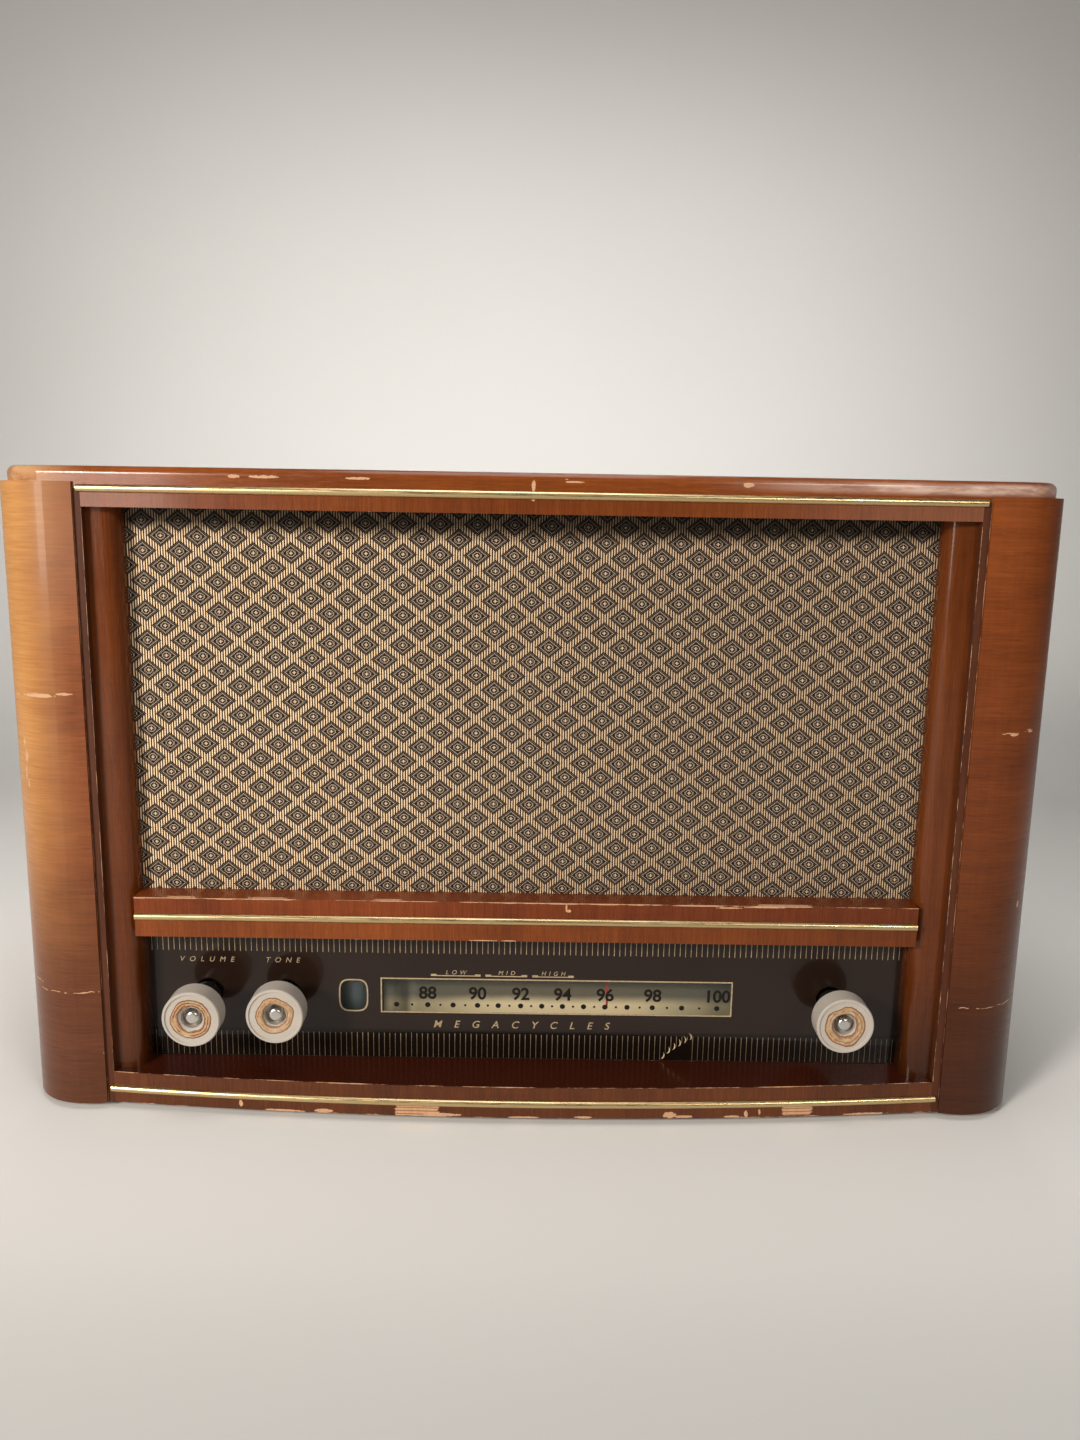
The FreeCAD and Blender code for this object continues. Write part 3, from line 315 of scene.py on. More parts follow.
def rail_wear(front, bowed, edges, chips, shift, back_edge=None, splits=()):
    """Wear on (height, width, amount) front edges in mm, with chips and split-off slivers of
    (x, z, half width, half height)."""
    def apply(g):
        face = bow_line(g, front) if bowed else front
        depth = g.minus(g.y, face)
        lines = []
        for i, (z, width, amount) in enumerate(edges):
            away = g.most(g.off(g.z, z), depth)
            lines.append(g.arris_wear(away, width, 16, amount, shift + 2 * i))
        ragged = g.ragged(1.5, 1.6, shift)
        near = g.below(depth, 2.5)
        spots = [g.times(near, g.chip(g.x, g.z, x, z, a, b, ragged)) for x, z, a, b in chips]
        for x, z, half_wide, half_high in splits:
            jag = g.wander(1.3, 0.9, (0.6, 1, 1.6), detail=4.0, shift=shift + x)
            wide = g.below(g.plus(g.off(g.x, x), g.times(jag, 1.5)), half_wide)
            high = g.below(g.plus(g.off(g.z, z), g.times(jag, 0.35)), half_high)
            layer = g.ramp(g.math("SINE", g.times(g.z, 2 * math.pi / PLY)), -1.0, -0.2, 0.35, 1.0)
            spots.append(g.times(near, layer, wide, high))
        if back_edge is not None:
            lines.append(g.arris_wear(g.off(g.y, back_edge), 0.5, 12, 0.42, shift + 31))
        return g.most(*lines, *spots)
    return apply


def finish_wood():
    under, shelf = to_mm(UNDERSIDE), to_mm(SHELF)
    bow, straight = to_mm(PLINTH_LOW.y), to_mm(MID_RAIL_LOW.y)
    left_chips = [(204, 186.6, 7.5, 0.9), (193, 187.4, 3.0, 0.6), (216, 186.0, 2.0, 0.5),
                  (213.0, 166, 0.6, 2.0), (212.2, 160, 0.8, 2.6), (213.1, 153, 0.5, 3.2),
                  (212.0, 148, 0.4, 1.6)]
    left_cracks = [(186, 213, 56.0, -0.6), (212, 219, 58.2, 1.4)]
    right_chips = [(203, 176.5, 2.2, 0.7), (211, 177.5, 1.4, 0.5), (214, 100, 0.6, 1.6)]
    right_cracks = [(190, 215, 54.0, 0.8), (196, 212, 177.0, 0.6)]
    paint(wood("VeneerLeft", ROUND_CORNER, LEFT_STAIN, 2.0, 0.42,
               wear=shell_wear(-1, left_chips, left_cracks), fade=left_pillar_fade), "left_side_shell")
    paint(wood("VeneerRight", ROUND_CORNER, STAIN, 12.0, 0.34,
               wear=shell_wear(1, right_chips, right_cracks), fade=right_pillar_fade, coat=0.26),
          "right_side_shell")
    cap_top = to_mm(TOP_HIGH.z)
    cap_chips = above(cap_top - 3.4, [
        (-119, 0, 2.6, 0.7), (-107, 0, 6, 0.6), (-69, 0, 5, 0.5), (0, -1.5, 0.7, 2.4), (16, 0, 4, 0.4),
        (85, 0, 2.0, 1.0), (150, 0, 2, 0.4), (170, 0, 1.6, 0.4), (206, -0.3, 2.4, 0.6)])
    cap_wear = rail_wear(bow, True, [(cap_top - 2.4, 0.5, 0.36)], cap_chips, 50)
    paint(wood("VeneerTop", ALONG_X, STAIN, 5.0, 0.55, 0.22, wear=cap_wear, fade=cap_tone_and_glare), "top_board")
    top_wear = rail_wear(bow, True, [(to_mm(TOP_RAIL_LOW.z), 0.5, 0.42)], [(0, 271, 0.9, 2.2)], 60)
    paint(wood("VeneerTopRail", ALONG_Z, STAIN, 8.0, 0.35, 0.28, wear=top_wear, fade=top_rail_tone_and_glare), "top_rail")
    mid_top, mid_low = to_mm(MID_RAIL_HIGH.z), to_mm(MID_RAIL_LOW.z)
    mid_chips = above(mid_top, [
        (-150, -0.1, 7, 0.22), (-112, -0.1, 9, 0.24), (-60, -0.1, 6, 0.22), (74, -0.3, 10, 0.26),
        (88, -1.0, 6, 0.34), (102, -0.6, 9, 0.24), (112, -0.1, 13, 0.30), (18, -3.4, 1.2, 0.6),
        (17, -2.0, 0.4, 1.3)])
    mid_chips += above(mid_low, [(-19, 0.2, 6, 0.25), (-8, 0.2, 3, 0.3)])
    mid_edges = [(mid_top, 0.5, 0.62), (mid_low, 0.35, 0.42)]
    paint(wood("VeneerMiddleRail", ALONG_Z, STAIN, 15.0, 0.40, 0.28,
               wear=rail_wear(straight, False, mid_edges, mid_chips, 70), fade=rail_fade, coat=0.18),
          "middle_rail")
    foot_chips = above(under, [
        (-125, 2.8, 0.8, 1.6), (-106, 0.4, 9, 0.5), (-88, 1.0, 4, 0.9), (-36, 0.9, 8, 0.8),
        (0, 0.3, 7, 0.4), (26, 0.5, 4, 0.5), (64, 1.6, 3, 1.5), (70, 0.8, 4, 0.6), (92, 0.6, 4, 0.5),
        (98, 1.8, 0.9, 1.7), (104, 2.6, 0.5, 1.4), (152, 0.4, 9, 0.5)])
    foot_splits = above(under, [(-47, 2.3, 9.5, 2.3), (121, 2.9, 6.6, 2.3)])
    foot_edges = [(under, 0.9, 0.50), (shelf, 0.36, 0.55)]
    back_edge = to_mm(SCALE_FRONT) - 0.3
    foot_wear = rail_wear(bow, True, foot_edges, foot_chips, 80, back_edge, foot_splits)
    paint(wood("VeneerPlinth", ALONG_Z, STAIN, 21.0, 0.40, 0.22, wear=foot_wear, fade=shelf_fade),
          "plinth_rail")
    for node, seed in (("left_jamb", 25.0), ("right_jamb", 29.0)):
        paint(wood("Veneer_" + node, ALONG_Z, JAMB_STAIN, seed, 0.5, 0.20, fade=jamb_painted_shade(node)), node)
    for node, seed in (("left_lipping", 33.0), ("right_lipping", 37.0)):
        wear = lipping_wear(node)
        paint(wood("Wood_" + node, ALONG_Z, LIPPING_STAIN, seed, 0.4, 0.50, wear=wear, coat=0.06), node)
    paint(wood("BarePly", ALONG_X, BARE_PLY, 45.0, 0.5, 0.62), "bottom_board", "baffle_board")


def shelf_fade(g, colour):
    """The rail at the foot is stained darker, and the shelf in front of the scale darkest of all."""
    colour = g.tinted(colour, (0.50, 0.54, 0.60))
    inside = g.ramp(g.z, to_mm(SHELF) - 0.4, to_mm(SHELF) - 0.1)
    return g.mix(inside, colour, g.mix(0.86, colour, (0.036, 0.0055, 0.003)))


def top_rail_tone_and_glare(g, colour):
    """The top rail is darker in the middle and has a painted highlight of glare at its right end."""
    colour = g.shaded(colour, g.ramp(g.math("ABSOLUTE", g.x), 60, 160, 0.80, 0.98))
    # Painted highlight: a pale glare over the right end.
    return g.mix(g.ramp(g.x, 70, 150, 0.0, 0.12), colour, (0.50, 0.34, 0.26))


def cap_tone_and_glare(g, colour):
    """The top board's front edge is darker in the middle, has a painted highlight of glare over its right
    end, and is pale at its left.
    """
    colour = g.shaded(colour, g.ramp(g.math("ABSOLUTE", g.x), 70, 180, 0.80, 1.0))
    # Painted highlight of glare along the front arris over the right end.
    edge = g.ramp(g.minus(g.y, bow_line(g, to_mm(TOP_LOW.y))), 5, 14, 1.0, 0.0)
    height = g.ramp(g.off(g.z, to_mm(TOP_HIGH.z) - 3.6), 0.6, 3.2, 1.0, 0.0)
    patchy = g.ramp(g.noise(0.16, (0.3, 1, 1.6), detail=5.0, rough=0.65, shift=55), 0.34, 0.60, 0.45, 1.0)
    painted_glare = g.times(edge, height, patchy, g.ramp(g.x, 60, 175, 0.0, 0.86))
    colour = g.mix(painted_glare, colour, (0.70, 0.52, 0.43))
    left_end = to_mm(TOP_LOW.x)
    pale = g.times(edge, patchy, g.ramp(g.x, left_end + 6, left_end + 44, 0.60, 0.0))
    return g.mix(pale, colour, (0.76, 0.47, 0.24))


def rail_fade(g, colour):
    """The middle rail is darker and redder above its strip and darkens towards the right."""
    centre = to_mm((MID_RAIL_LOW.z + MID_RAIL_HIGH.z) / 2)
    upper = g.ramp(g.z, centre - 0.5, centre + 0.5, 1.0, 0.86)
    shade = g.times(upper, g.ramp(g.x, -110, 140, 1.04, 0.76))
    return g.tinted(colour, g.join(shade, g.times(shade, upper), shade))


def jamb_painted_shade(node):
    """Painted shade darkens each jamb beside the lipping, and the jamb is darker towards the foot."""
    low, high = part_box(node)
    inner, outer = sorted((abs(to_mm(low.x)), abs(to_mm(high.x))))

    def apply(g, colour):
        along = g.ramp(g.math("ABSOLUTE", g.x), inner, outer, smooth=False)
        foot = g.ramp(g.z, 10, 84, 0.28, 0.92) if low.x > 0 else g.ramp(g.z, 5, 110, 0.54, 1.0)
        # The ramp on along is painted shade beside the lipping.
        return g.shaded(colour, g.times(g.ramp(along, 0.42, 0.72, 1.08, 0.34), foot))
    return apply


def lipping_wear(node):
    """Pale broken arrises down both corners of the strip's front."""
    low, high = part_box(node)
    half = to_mm(high.x - low.x) / 2
    centre = to_mm(high.x + low.x) / 2
    front = to_mm(low.y)
    reach = 0.15 if centre < 0 else 0.24

    def apply(g):
        away = g.most(g.off(g.off(g.x, centre), half), g.off(g.y, front))
        patch = g.noise(0.09, (1, 1, 0.8), detail=6.0, rough=0.7, shift=97)
        return g.below(away, g.ramp(patch, 0.42, 0.64, 0.0, reach))
    return apply


# ------------ metal, plastic, glass and board
def metal(name, colour, rough, seed, tarnish, brushed=(1, 1, 1), dirt=(0.10, 0.07, 0.03)):
    g = Graph(name, Metallic=1.0)
    blotch = g.noise(0.09, detail=6.0, rough=0.7, shift=seed)
    stains = g.ramp(blotch, 0.52, 0.74, 0.0, tarnish)
    fine = g.noise(0.9, rough=0.6, shift=seed + 5)
    specks = g.ramp(fine, 0.70, 0.78, 0.0, min(1.0, 2.2 * tarnish))
    marks = g.most(stains, specks)
    g.set(Base_Color=g.mix(marks, colour, dirt))
    lines = g.noise(2.2, brushed, detail=4.0, rough=0.6, shift=seed + 9)
    base = g.vary(lines, rough - 0.05, rough + 0.09)
    g.set(Roughness=g.plus(base, g.times(marks, 0.45), clamp=True))
    g.bump(g.minus(lines, g.times(marks, 1.5)), 0.02, 0.5)
    return g.material


def plastic(name, colour, rough, seed, grime, grime_colour, coat=0.2):
    g = Graph(name, Specular_IOR_Level=0.5, Coat_Weight=coat, Coat_Roughness=0.2)
    cloudy = g.noise(0.12, detail=4.0, rough=0.6, shift=seed)
    fine = g.noise(2.4, rough=0.6, shift=seed + 3)
    base = g.mix(cloudy, tuple(c * 0.88 for c in colour), tuple(min(1.0, c * 1.08) for c in colour))
    spots = g.ramp(g.noise(0.7, detail=5.0, rough=0.7, shift=seed + 8), 0.62, 0.76, 0.0, grime)
    g.set(Base_Color=g.mix(spots, base, grime_colour))
    g.set(Roughness=g.plus(g.vary(fine, rough - 0.05, rough + 0.07), g.times(spots, 0.4)))
    g.bump(g.plus(fine, g.times(cloudy, 2.0)), 0.02, 0.5)
    return g.material


def clear_glass(name, tint, alpha, seed):
    g = Graph(name, Roughness=0.04, Specular_IOR_Level=0.6, Alpha=alpha, IOR=1.5)
    dust = g.ramp(g.noise(0.6, detail=6.0, rough=0.75, shift=seed), 0.60, 0.80)
    g.set(Base_Color=g.mix(g.times(dust, 0.3), tint, (0.55, 0.52, 0.46)))
    g.set(Roughness=g.ramp(dust, 0.0, 1.0, 0.03, 0.22))
    return g.material


def fibreboard(name):
    g = Graph(name, Specular_IOR_Level=0.3)
    fibres = g.noise(0.9, (1, 1, 1.6), detail=6.0, rough=0.75, twist=1.2, shift=3)
    cloud = g.noise(0.03, shift=9)
    value = g.plus(g.times(fibres, 0.7), g.times(cloud, 0.5))
    colour = g.mix(g.ramp(value, 0.35, 0.85), (0.060, 0.032, 0.017), (0.165, 0.095, 0.052))
    dust = g.ramp(g.noise(0.22, detail=6.0, rough=0.8, shift=15), 0.56, 0.80, 0.0, 0.35)
    g.set(Base_Color=g.mix(dust, colour, (0.30, 0.24, 0.18)))
    g.set(Roughness=g.vary(fibres, 0.55, 0.8))
    g.bump(fibres, 0.12, 0.7)
    return g.material


def paint(material, *nodes):
    """Gives CAD nodes their material on every slot."""
    for node in nodes:
        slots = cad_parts[node].data.materials
        if not slots:
            slots.append(material)
        for i in range(len(slots)):
            slots[i] = material


def finish_fittings():
    paint(metal("BrassTrim", (0.63, 0.47, 0.24), 0.28, 3.0, 0.13, (0.04, 1, 1), (0.20, 0.12, 0.05)),
          "top_brass_strip", "middle_brass_strip", "bottom_brass_strip")
    for control in CONTROLS:
        paint(knob_ivory(control), control + "_knob")
    paint(metal("SpindleSteel", (0.62, 0.60, 0.57), 0.22, 7.0, 0.25, (1, 0.06, 1)),
          "volume_spindle", "tone_spindle", "tuning_spindle", "pulley_studs")
    paint(metal("ZincScrews", (0.55, 0.54, 0.50), 0.38, 11.0, 0.5, dirt=(0.16, 0.08, 0.04)),
          "rear_cover_screws", "speaker_bolts", "chassis_bolts", "drum_spring")
    paint(metal("ChassisSteel", (0.50, 0.50, 0.46), 0.42, 13.0, 0.45, dirt=(0.17, 0.12, 0.07)),
          "chassis", "gang_frame", "tuning_eye_bracket", "volume_control", "tone_control")
    paint(metal("DrawnAluminium", (0.72, 0.72, 0.70), 0.30, 17.0, 0.25, (1, 1, 0.05), (0.22, 0.20, 0.17)),
          "if_transformer_cans", "smoothing_capacitor", "gang_rotor", "gang_stator", "tuning_drum")
    paint(metal("StampedBrass", (0.60, 0.45, 0.22), 0.36, 19.0, 0.5), "lamp_holders", "control_nuts")
    paint(metal("MagnetIron", (0.23, 0.23, 0.24), 0.55, 31.0, 0.6, dirt=(0.16, 0.08, 0.04)),
          "speaker_magnet")
    paint(fibreboard("RearFibreboard"), "rear_cover")
    paint(plastic("BlackRubber", (0.022, 0.020, 0.019), 0.72, 23.0, 0.5, (0.14, 0.12, 0.10), 0.0),
          "feet", "mains_grommet")
    paint(plastic("FrameEnamel", (0.045, 0.050, 0.055), 0.40, 29.0, 0.35, (0.22, 0.18, 0.13)),
          "speaker_frame")
    paint(plastic("ConePaper", (0.040, 0.034, 0.028), 0.88, 37.0, 0.5, (0.13, 0.10, 0.07), 0.0),
          "speaker_cone")
    paint(plastic("BrownBakelite", (0.052, 0.026, 0.014), 0.28, 41.0, 0.3, (0.16, 0.11, 0.07)),
          "valve_holders", "aerial_socket_panel")
    paint(plastic("VarnishedPaper", (0.32, 0.20, 0.07), 0.42, 43.0, 0.5, (0.10, 0.06, 0.03)),
          "mains_transformer", "output_transformer")
    paint(plastic("TurnedNylon", (0.62, 0.56, 0.42), 0.42, 47.0, 0.25, (0.20, 0.14, 0.08)),
          "left_cord_pulley", "right_cord_pulley")
    paint(plastic("RedEnamel", (0.42, 0.018, 0.012), 0.35, 53.0, 0.2, (0.20, 0.03, 0.02)), "dial_pointer")
    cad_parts["dial_pointer"].visible_shadow = False
    paint(backplate_enamel(), "dial_backplate")
    paint(braid(), "drive_cord")
    paint(clear_glass("ScaleGlass", (0.14, 0.15, 0.14), 0.06, 3.0), "dial_glass")
    paint(clear_glass("BulbGlass", (0.42, 0.44, 0.44), 0.34, 9.0),
          "signal_valves", "output_valve", "rectifier_valve", "dial_lamps")
    paint(clear_glass("SmokedGlass", (0.06, 0.085, 0.09), 0.30, 15.0), "tuning_eye")


GRIP_LENGTH = 10.3            # mm, face to back of a knob's grip, where its hub begins


def knob_ivory(control):
    """Aged cream plastic, greyed by handling; the hub behind the grip is black."""
    g = Graph("KnobIvory_" + control, Specular_IOR_Level=0.45, Coat_Weight=0.12, Coat_Roughness=0.3)
    cloud = g.noise(0.10, detail=5.0, rough=0.65, shift=3)
    fine = g.noise(2.0, rough=0.6, shift=9)
    colour = g.mix(cloud, (0.40, 0.352, 0.30), (0.52, 0.468, 0.41))
    grime = g.ramp(g.noise(0.45, detail=6.0, rough=0.75, shift=21), 0.56, 0.78, 0.0, 0.45)
    colour = g.mix(grime, colour, (0.26, 0.19, 0.12))
    hub = g.math("GREATER_THAN", g.y, to_mm(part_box(control + "_knob")[0].y) + GRIP_LENGTH - 0.05)
    g.set(Base_Color=g.mix(hub, colour, (0.010, 0.009, 0.008)))
    g.set(Roughness=g.minus(g.vary(fine, 0.42, 0.58), g.times(hub, 0.2)))
    g.bump(g.plus(fine, g.times(cloud, 1.5)), 0.03, 0.6)
    return g.material


def backplate_enamel():
    """Cream enamel, with painted shade above the lamps' line and towards both ends and a painted bright
    patch of light near the left end.
    """
    g = Graph("BackplateEnamel", Specular_IOR_Level=0.35)
    cloud = g.noise(0.05, detail=4.0, rough=0.6, shift=5)
    fine = g.noise(1.4, shift=8)
    line = to_mm(UNDERSIDE) + 37
    # Painted shade: the enamel is darker above the lamps' line and towards both ends.
    top = g.ramp(g.plus(g.z, g.times(cloud, 2.0)), line - 2.4, line + 3.4)
    ends = g.ramp(g.off(g.x, 16), 18, 82)
    lit_colour = g.mix(ends, (0.97, 0.80, 0.49), (0.34, 0.285, 0.165))
    shaded_colour = g.mix(ends, (0.155, 0.135, 0.088), (0.115, 0.112, 0.083))
    colour = g.mix(top, lit_colour, shaded_colour)
    # Painted light: a bright patch near the left end of the window.
    patch = g.ramp(g.off(g.x, -56), 2.0, 6.0, 1.0, 0.0)
    g.set(Base_Color=g.mix(g.times(patch, 0.5), colour, g.tinted(colour, (2.6, 2.6, 2.6))))
    g.set(Roughness=g.vary(fine, 0.40, 0.55))
    g.bump(fine, 0.02, 0.4)
    return g.material


def braid():
    g = Graph("BraidedCord", Specular_IOR_Level=0.2)
    plait = g.math("SINE", g.times(g.plus(g.x, g.z), 9.0))
    fluff = g.noise(4.0, shift=3)
    g.set(Base_Color=g.mix(g.ramp(plait, -1, 1), (0.20, 0.13, 0.06), (0.42, 0.31, 0.17)))
    g.set(Roughness=g.vary(fluff, 0.7, 0.9))
    g.bump(g.plus(plait, fluff), 0.05, 0.7)
    return g.material


# ------------ mesh helpers
def in_scene(name, data):
    made = bpy.data.objects.new(name, data)
    bpy.context.scene.collection.objects.link(made)
    return made


def add_object(name, mesh, body, material):
    made = in_scene(name, mesh)
    mesh.materials.append(material)
    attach(made, body)
    return made


def mesh_of(name, build, smooth=False):
    work = bmesh.new()
    build(work)
    mesh = bpy.data.meshes.new(name)
    work.to_mesh(mesh)
    work.free()
    for polygon in mesh.polygons:
        polygon.use_smooth = smooth
    return mesh


def plate_with_holes(name, outline, holes, y, thickness):
    """A flat plate facing -Y, from closed (x, z) loops."""
    curve = bpy.data.curves.new(name, "CURVE")
    curve.dimensions = "2D"
    curve.fill_mode = "BOTH"
    curve.extrude = thickness / 2
    for loop in [outline] + holes:
        spline = curve.splines.new("POLY")
        spline.points.add(len(loop) - 1)
        spline.use_cyclic_u = True
        for point, (x, z) in zip(spline.points, loop):
            point.co = (x, z, 0, 1)
    return flat_mesh(name, curve, y)


def flat_mesh(name, curve, y):
    """The mesh of a flat curve or text, stood up in the XZ plane at y."""
    holder = in_scene(name + "_outline", curve)
    bpy.context.view_layer.update()
    mesh = bpy.data.meshes.new_from_object(holder)
    mesh.name = name
    bpy.data.objects.remove(holder)
    mesh.transform(Matrix.Translation((0, y, 0)) @ Matrix.Rotation(math.radians(90), 4, "X"))
    mesh.materials.clear()
    return mesh


def quads(work, rows, closed=False):
    """Faces between neighbouring rows of vertices; closed joins the last row to the first."""
    for i in range(len(rows) if closed else len(rows) - 1):
        here, there = rows[i], rows[(i + 1) % len(rows)]
        for j in range(len(here) - 1):
            work.faces.new((here[j], here[j + 1], there[j + 1], there[j]))


def round_loop(x, z, rx, rz, power=2.0, count=48):
    """A superellipse: power 2 is an ellipse, higher is squarer."""
    points = []
    for k in range(count):
        a = 2 * math.pi * k / count
        c, s = math.cos(a), math.sin(a)
        points.append((x + rx * math.copysign(abs(c) ** (2 / power), c),
                       z + rz * math.copysign(abs(s) ** (2 / power), s)))
    return points


def square_loop(x0, x1, z0, z1):
    return [(x0, z0), (x1, z0), (x1, z1), (x0, z1)]


# ------------ loudspeaker cloth
REPEAT_X = 15.5               # mm, one diamond across
REPEAT_Z = 12.63              # one diamond up
ENDS = 14                     # warp threads in a diamond's width
MOUTH_RADIUS = 66 * MM        # of the loudspeaker's opening behind the cloth
SLACK = 0.10 * MM


def cloth_weave():
    """Jacquard of cream lattice over dark diamonds with a light outline and a light eye, darkened to the
    right by painted shade, with painted shadows under the top rail and beside the jambs.
    """
    g = Graph("GrilleCloth", Specular_IOR_Level=0.12)
    wobble = g.wander(1.1, 0.012, detail=2.0, shift=3)
    warp_at = g.times(g.plus(g.x, wobble), ENDS / REPEAT_X)
    weft_at = g.times(g.plus(g.z, wobble), ENDS / REPEAT_Z)

    def step(value):
        """A place in repeats, rounded to half a thread so that outlines are stepped like a weave."""
        return g.times(g.math("FLOOR", g.plus(g.times(value, 2.0), 0.5)), 0.5 / ENDS)

    def fold(value, shift):
        """Distance to the nearest whole number (shift 0.5) or half (0.0); 200 keeps the value positive."""
        return g.off(g.math("FRACT", g.plus(value, 200 + shift)), 0.5)

    def apart(shift):
        """Square of the distance to the nearest eye, in the rows that shift picks."""
        across, up = fold(u, shift), fold(v, shift)
        return g.plus(g.times(across, across), g.times(up, up))

    u, v = step(warp_at), step(weft_at)
    reach = g.most(fold(g.plus(u, v), 0.5), fold(g.minus(u, v), 0.5))
    near = g.math("SQRT", g.math("MINIMUM", apart(0.5), apart(0.0)))
    eye = g.below(near, 0.038)
    halo = g.math("COMPARE", near, 0.101, 0.014)
    lattice = g.math("GREATER_THAN", reach, 0.392)
    outline = g.math("COMPARE", reach, 0.250, 0.010)
    specks = g.math("COMPARE", reach, 0.3214, 0.010)
    thread = g.math("SINE", g.times(warp_at, 2 * math.pi))
    pick = g.math("SINE", g.times(weft_at, 2 * math.pi))
    checks = g.ramp(g.times(thread, pick), -0.3, 0.3)
    rays = g.ramp(thread, -0.15, 0.40)
    # Painted falloff of light: cream and grey are shaded darker towards the right.
    painted_falloff = g.ramp(g.x, -125, 100)
    tint = g.mix(g.noise(0.03, detail=4.0, rough=0.6, shift=19), (0.98, 0.65, 0.37), (1.0, 0.80, 0.54))
    cream = g.mix(g.times(painted_falloff, 0.76), tint, (0.52, 0.37, 0.24))
    shadow = (0.030, 0.016, 0.010)
    dark = g.mix(checks, (0.006, 0.004, 0.003), (0.026, 0.016, 0.012))
    grey = g.mix(g.times(painted_falloff, 0.4), (0.60, 0.46, 0.33), (0.42, 0.32, 0.23))
    dotted = g.plus(g.times(checks, 0.35), 0.46)
    colour = g.mix(g.times(outline, dotted), dark, grey)
    colour = g.mix(g.times(halo, dotted), colour, grey)
    colour = g.mix(g.times(specks, checks, 0.25), colour, grey)
    colour = g.mix(eye, colour, grey)
    lit = g.mix(rays, shadow, cream)
    colour = g.mix(lattice, colour, lit)
    # Painted shadows: the cloth is darker under the top rail and beside the jambs.
    rail, side = to_mm(TOP_RAIL_LOW.z), to_mm(CLOTH_HIGH.x)
    rail_shadow = g.ramp(g.z, rail - 13, rail - 4, 1.0, 0.26)
    jamb_shadow = g.ramp(g.math("ABSOLUTE", g.x), side - 7, side - 1, 1.0, 0.62)
    colour = g.shaded(colour, g.times(rail_shadow, jamb_shadow))
    g.set(Base_Color=colour, Roughness=g.ramp(thread, -1, 1, 0.85, 0.6))
    relief = g.plus(g.times(lattice, 1.4), g.times(g.plus(thread, g.times(pick, 0.5)), 0.5))
    g.bump(relief, 0.16, 0.8)
    return g.material


def make_cloth():
    """The cloth, glued round the baffle and a little slack over the loudspeaker's mouth."""
    low, high = CLOTH_LOW, CLOTH_HIGH
    rows, columns = 90, 176
    depth = (low.y + high.y) / 2
    mouth = middle("speaker_cone")

    def build(work):
        grid = []
        for j in range(rows + 1):
            z = low.z + (high.z - low.z) * j / rows
            line = []
            for i in range(columns + 1):
                x = low.x + (high.x - low.x) * i / columns
                away = math.hypot(x - mouth.x, z - mouth.z) / MOUTH_RADIUS
                slack = SLACK * max(0.0, 1 - away * away)
                ripple = SLACK * noise.noise(Vector((x * 30, z * 40, 1.7)))
                line.append(work.verts.new((x, depth + slack + ripple, z)))
            grid.append(line)
        quads(work, grid)

    cloth = add_object("grille_cloth", mesh_of("grille_cloth", build, True), "cabinet", cloth_weave())
    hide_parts("speaker_cloth")


# ------------ printed scale
STRIPE_PITCH = 2.474 * MM
STRIPE_HALF = 0.13 * MM
STRIPE_REACH = 168.5 * MM
SCALE_X0, SCALE_X1 = -65.2 * MM, 93.2 * MM
SCALE_Z0, SCALE_Z1 = UNDERSIDE + 37.1 * MM, UNDERSIDE + 52.7 * MM
EYE_RX, EYE_RZ = 6.0 * MM, 7.2 * MM
EYE_Z = UNDERSIDE + 44.6 * MM
BORDER = 0.62 * MM
PRINT_Y = SCALE_FRONT - 0.12 * MM
INK_Y = SCALE_FRONT - 0.22 * MM
DOT_Z = UNDERSIDE + 40.5 * MM
NUMBER_Z = UNDERSIDE + 46.0 * MM
BIG_DOTS = (-58.6, -44.5, -33.0, -21.9, -12.5, -2.3, 7.3, 16.7, 26.3, 36.0, 46.1, 57.6, 71.0, 87.0)
STATION_BARS = ((-43.1, -20.6, "LOW"), (-18.4, 0.5, "MID"), (2.8, 21.6, "HIGH"))
LOST_STRIPES = (62 * MM, 76 * MM)
SPINDLE_HOLE = 6.3 * MM       # radius in the mask
LABEL_Z = UNDERSIDE + 61.0 * MM
BAR_Z = UNDERSIDE + 55.0 * MM
CAP_SHARE = 0.70              # of a font's size, the height of its capitals


def gold_ink(name, foot):
    """Gold ink whose brightness towards the foot of the glass is scaled by foot: painted shade below 1,
    brighter above 1.
    """
    g = Graph(name, Specular_IOR_Level=0.4)
    worn = g.noise(1.4, detail=5.0, rough=0.7, shift=3)
    bright = g.mix(g.ramp(worn, 0.35, 0.7), (0.34, 0.245, 0.135), (0.56, 0.43, 0.27))
    # Painted shade on the lower stripes, set by foot.
    g.set(Base_Color=g.shaded(bright, g.ramp(g.z, to_mm(SHELF) + 6, to_mm(SHELF) + 17, foot, 1.0)))
    g.set(Roughness=g.vary(worn, 0.35, 0.55))
    g.bump(worn, 0.01, 0.5)
    return g.material


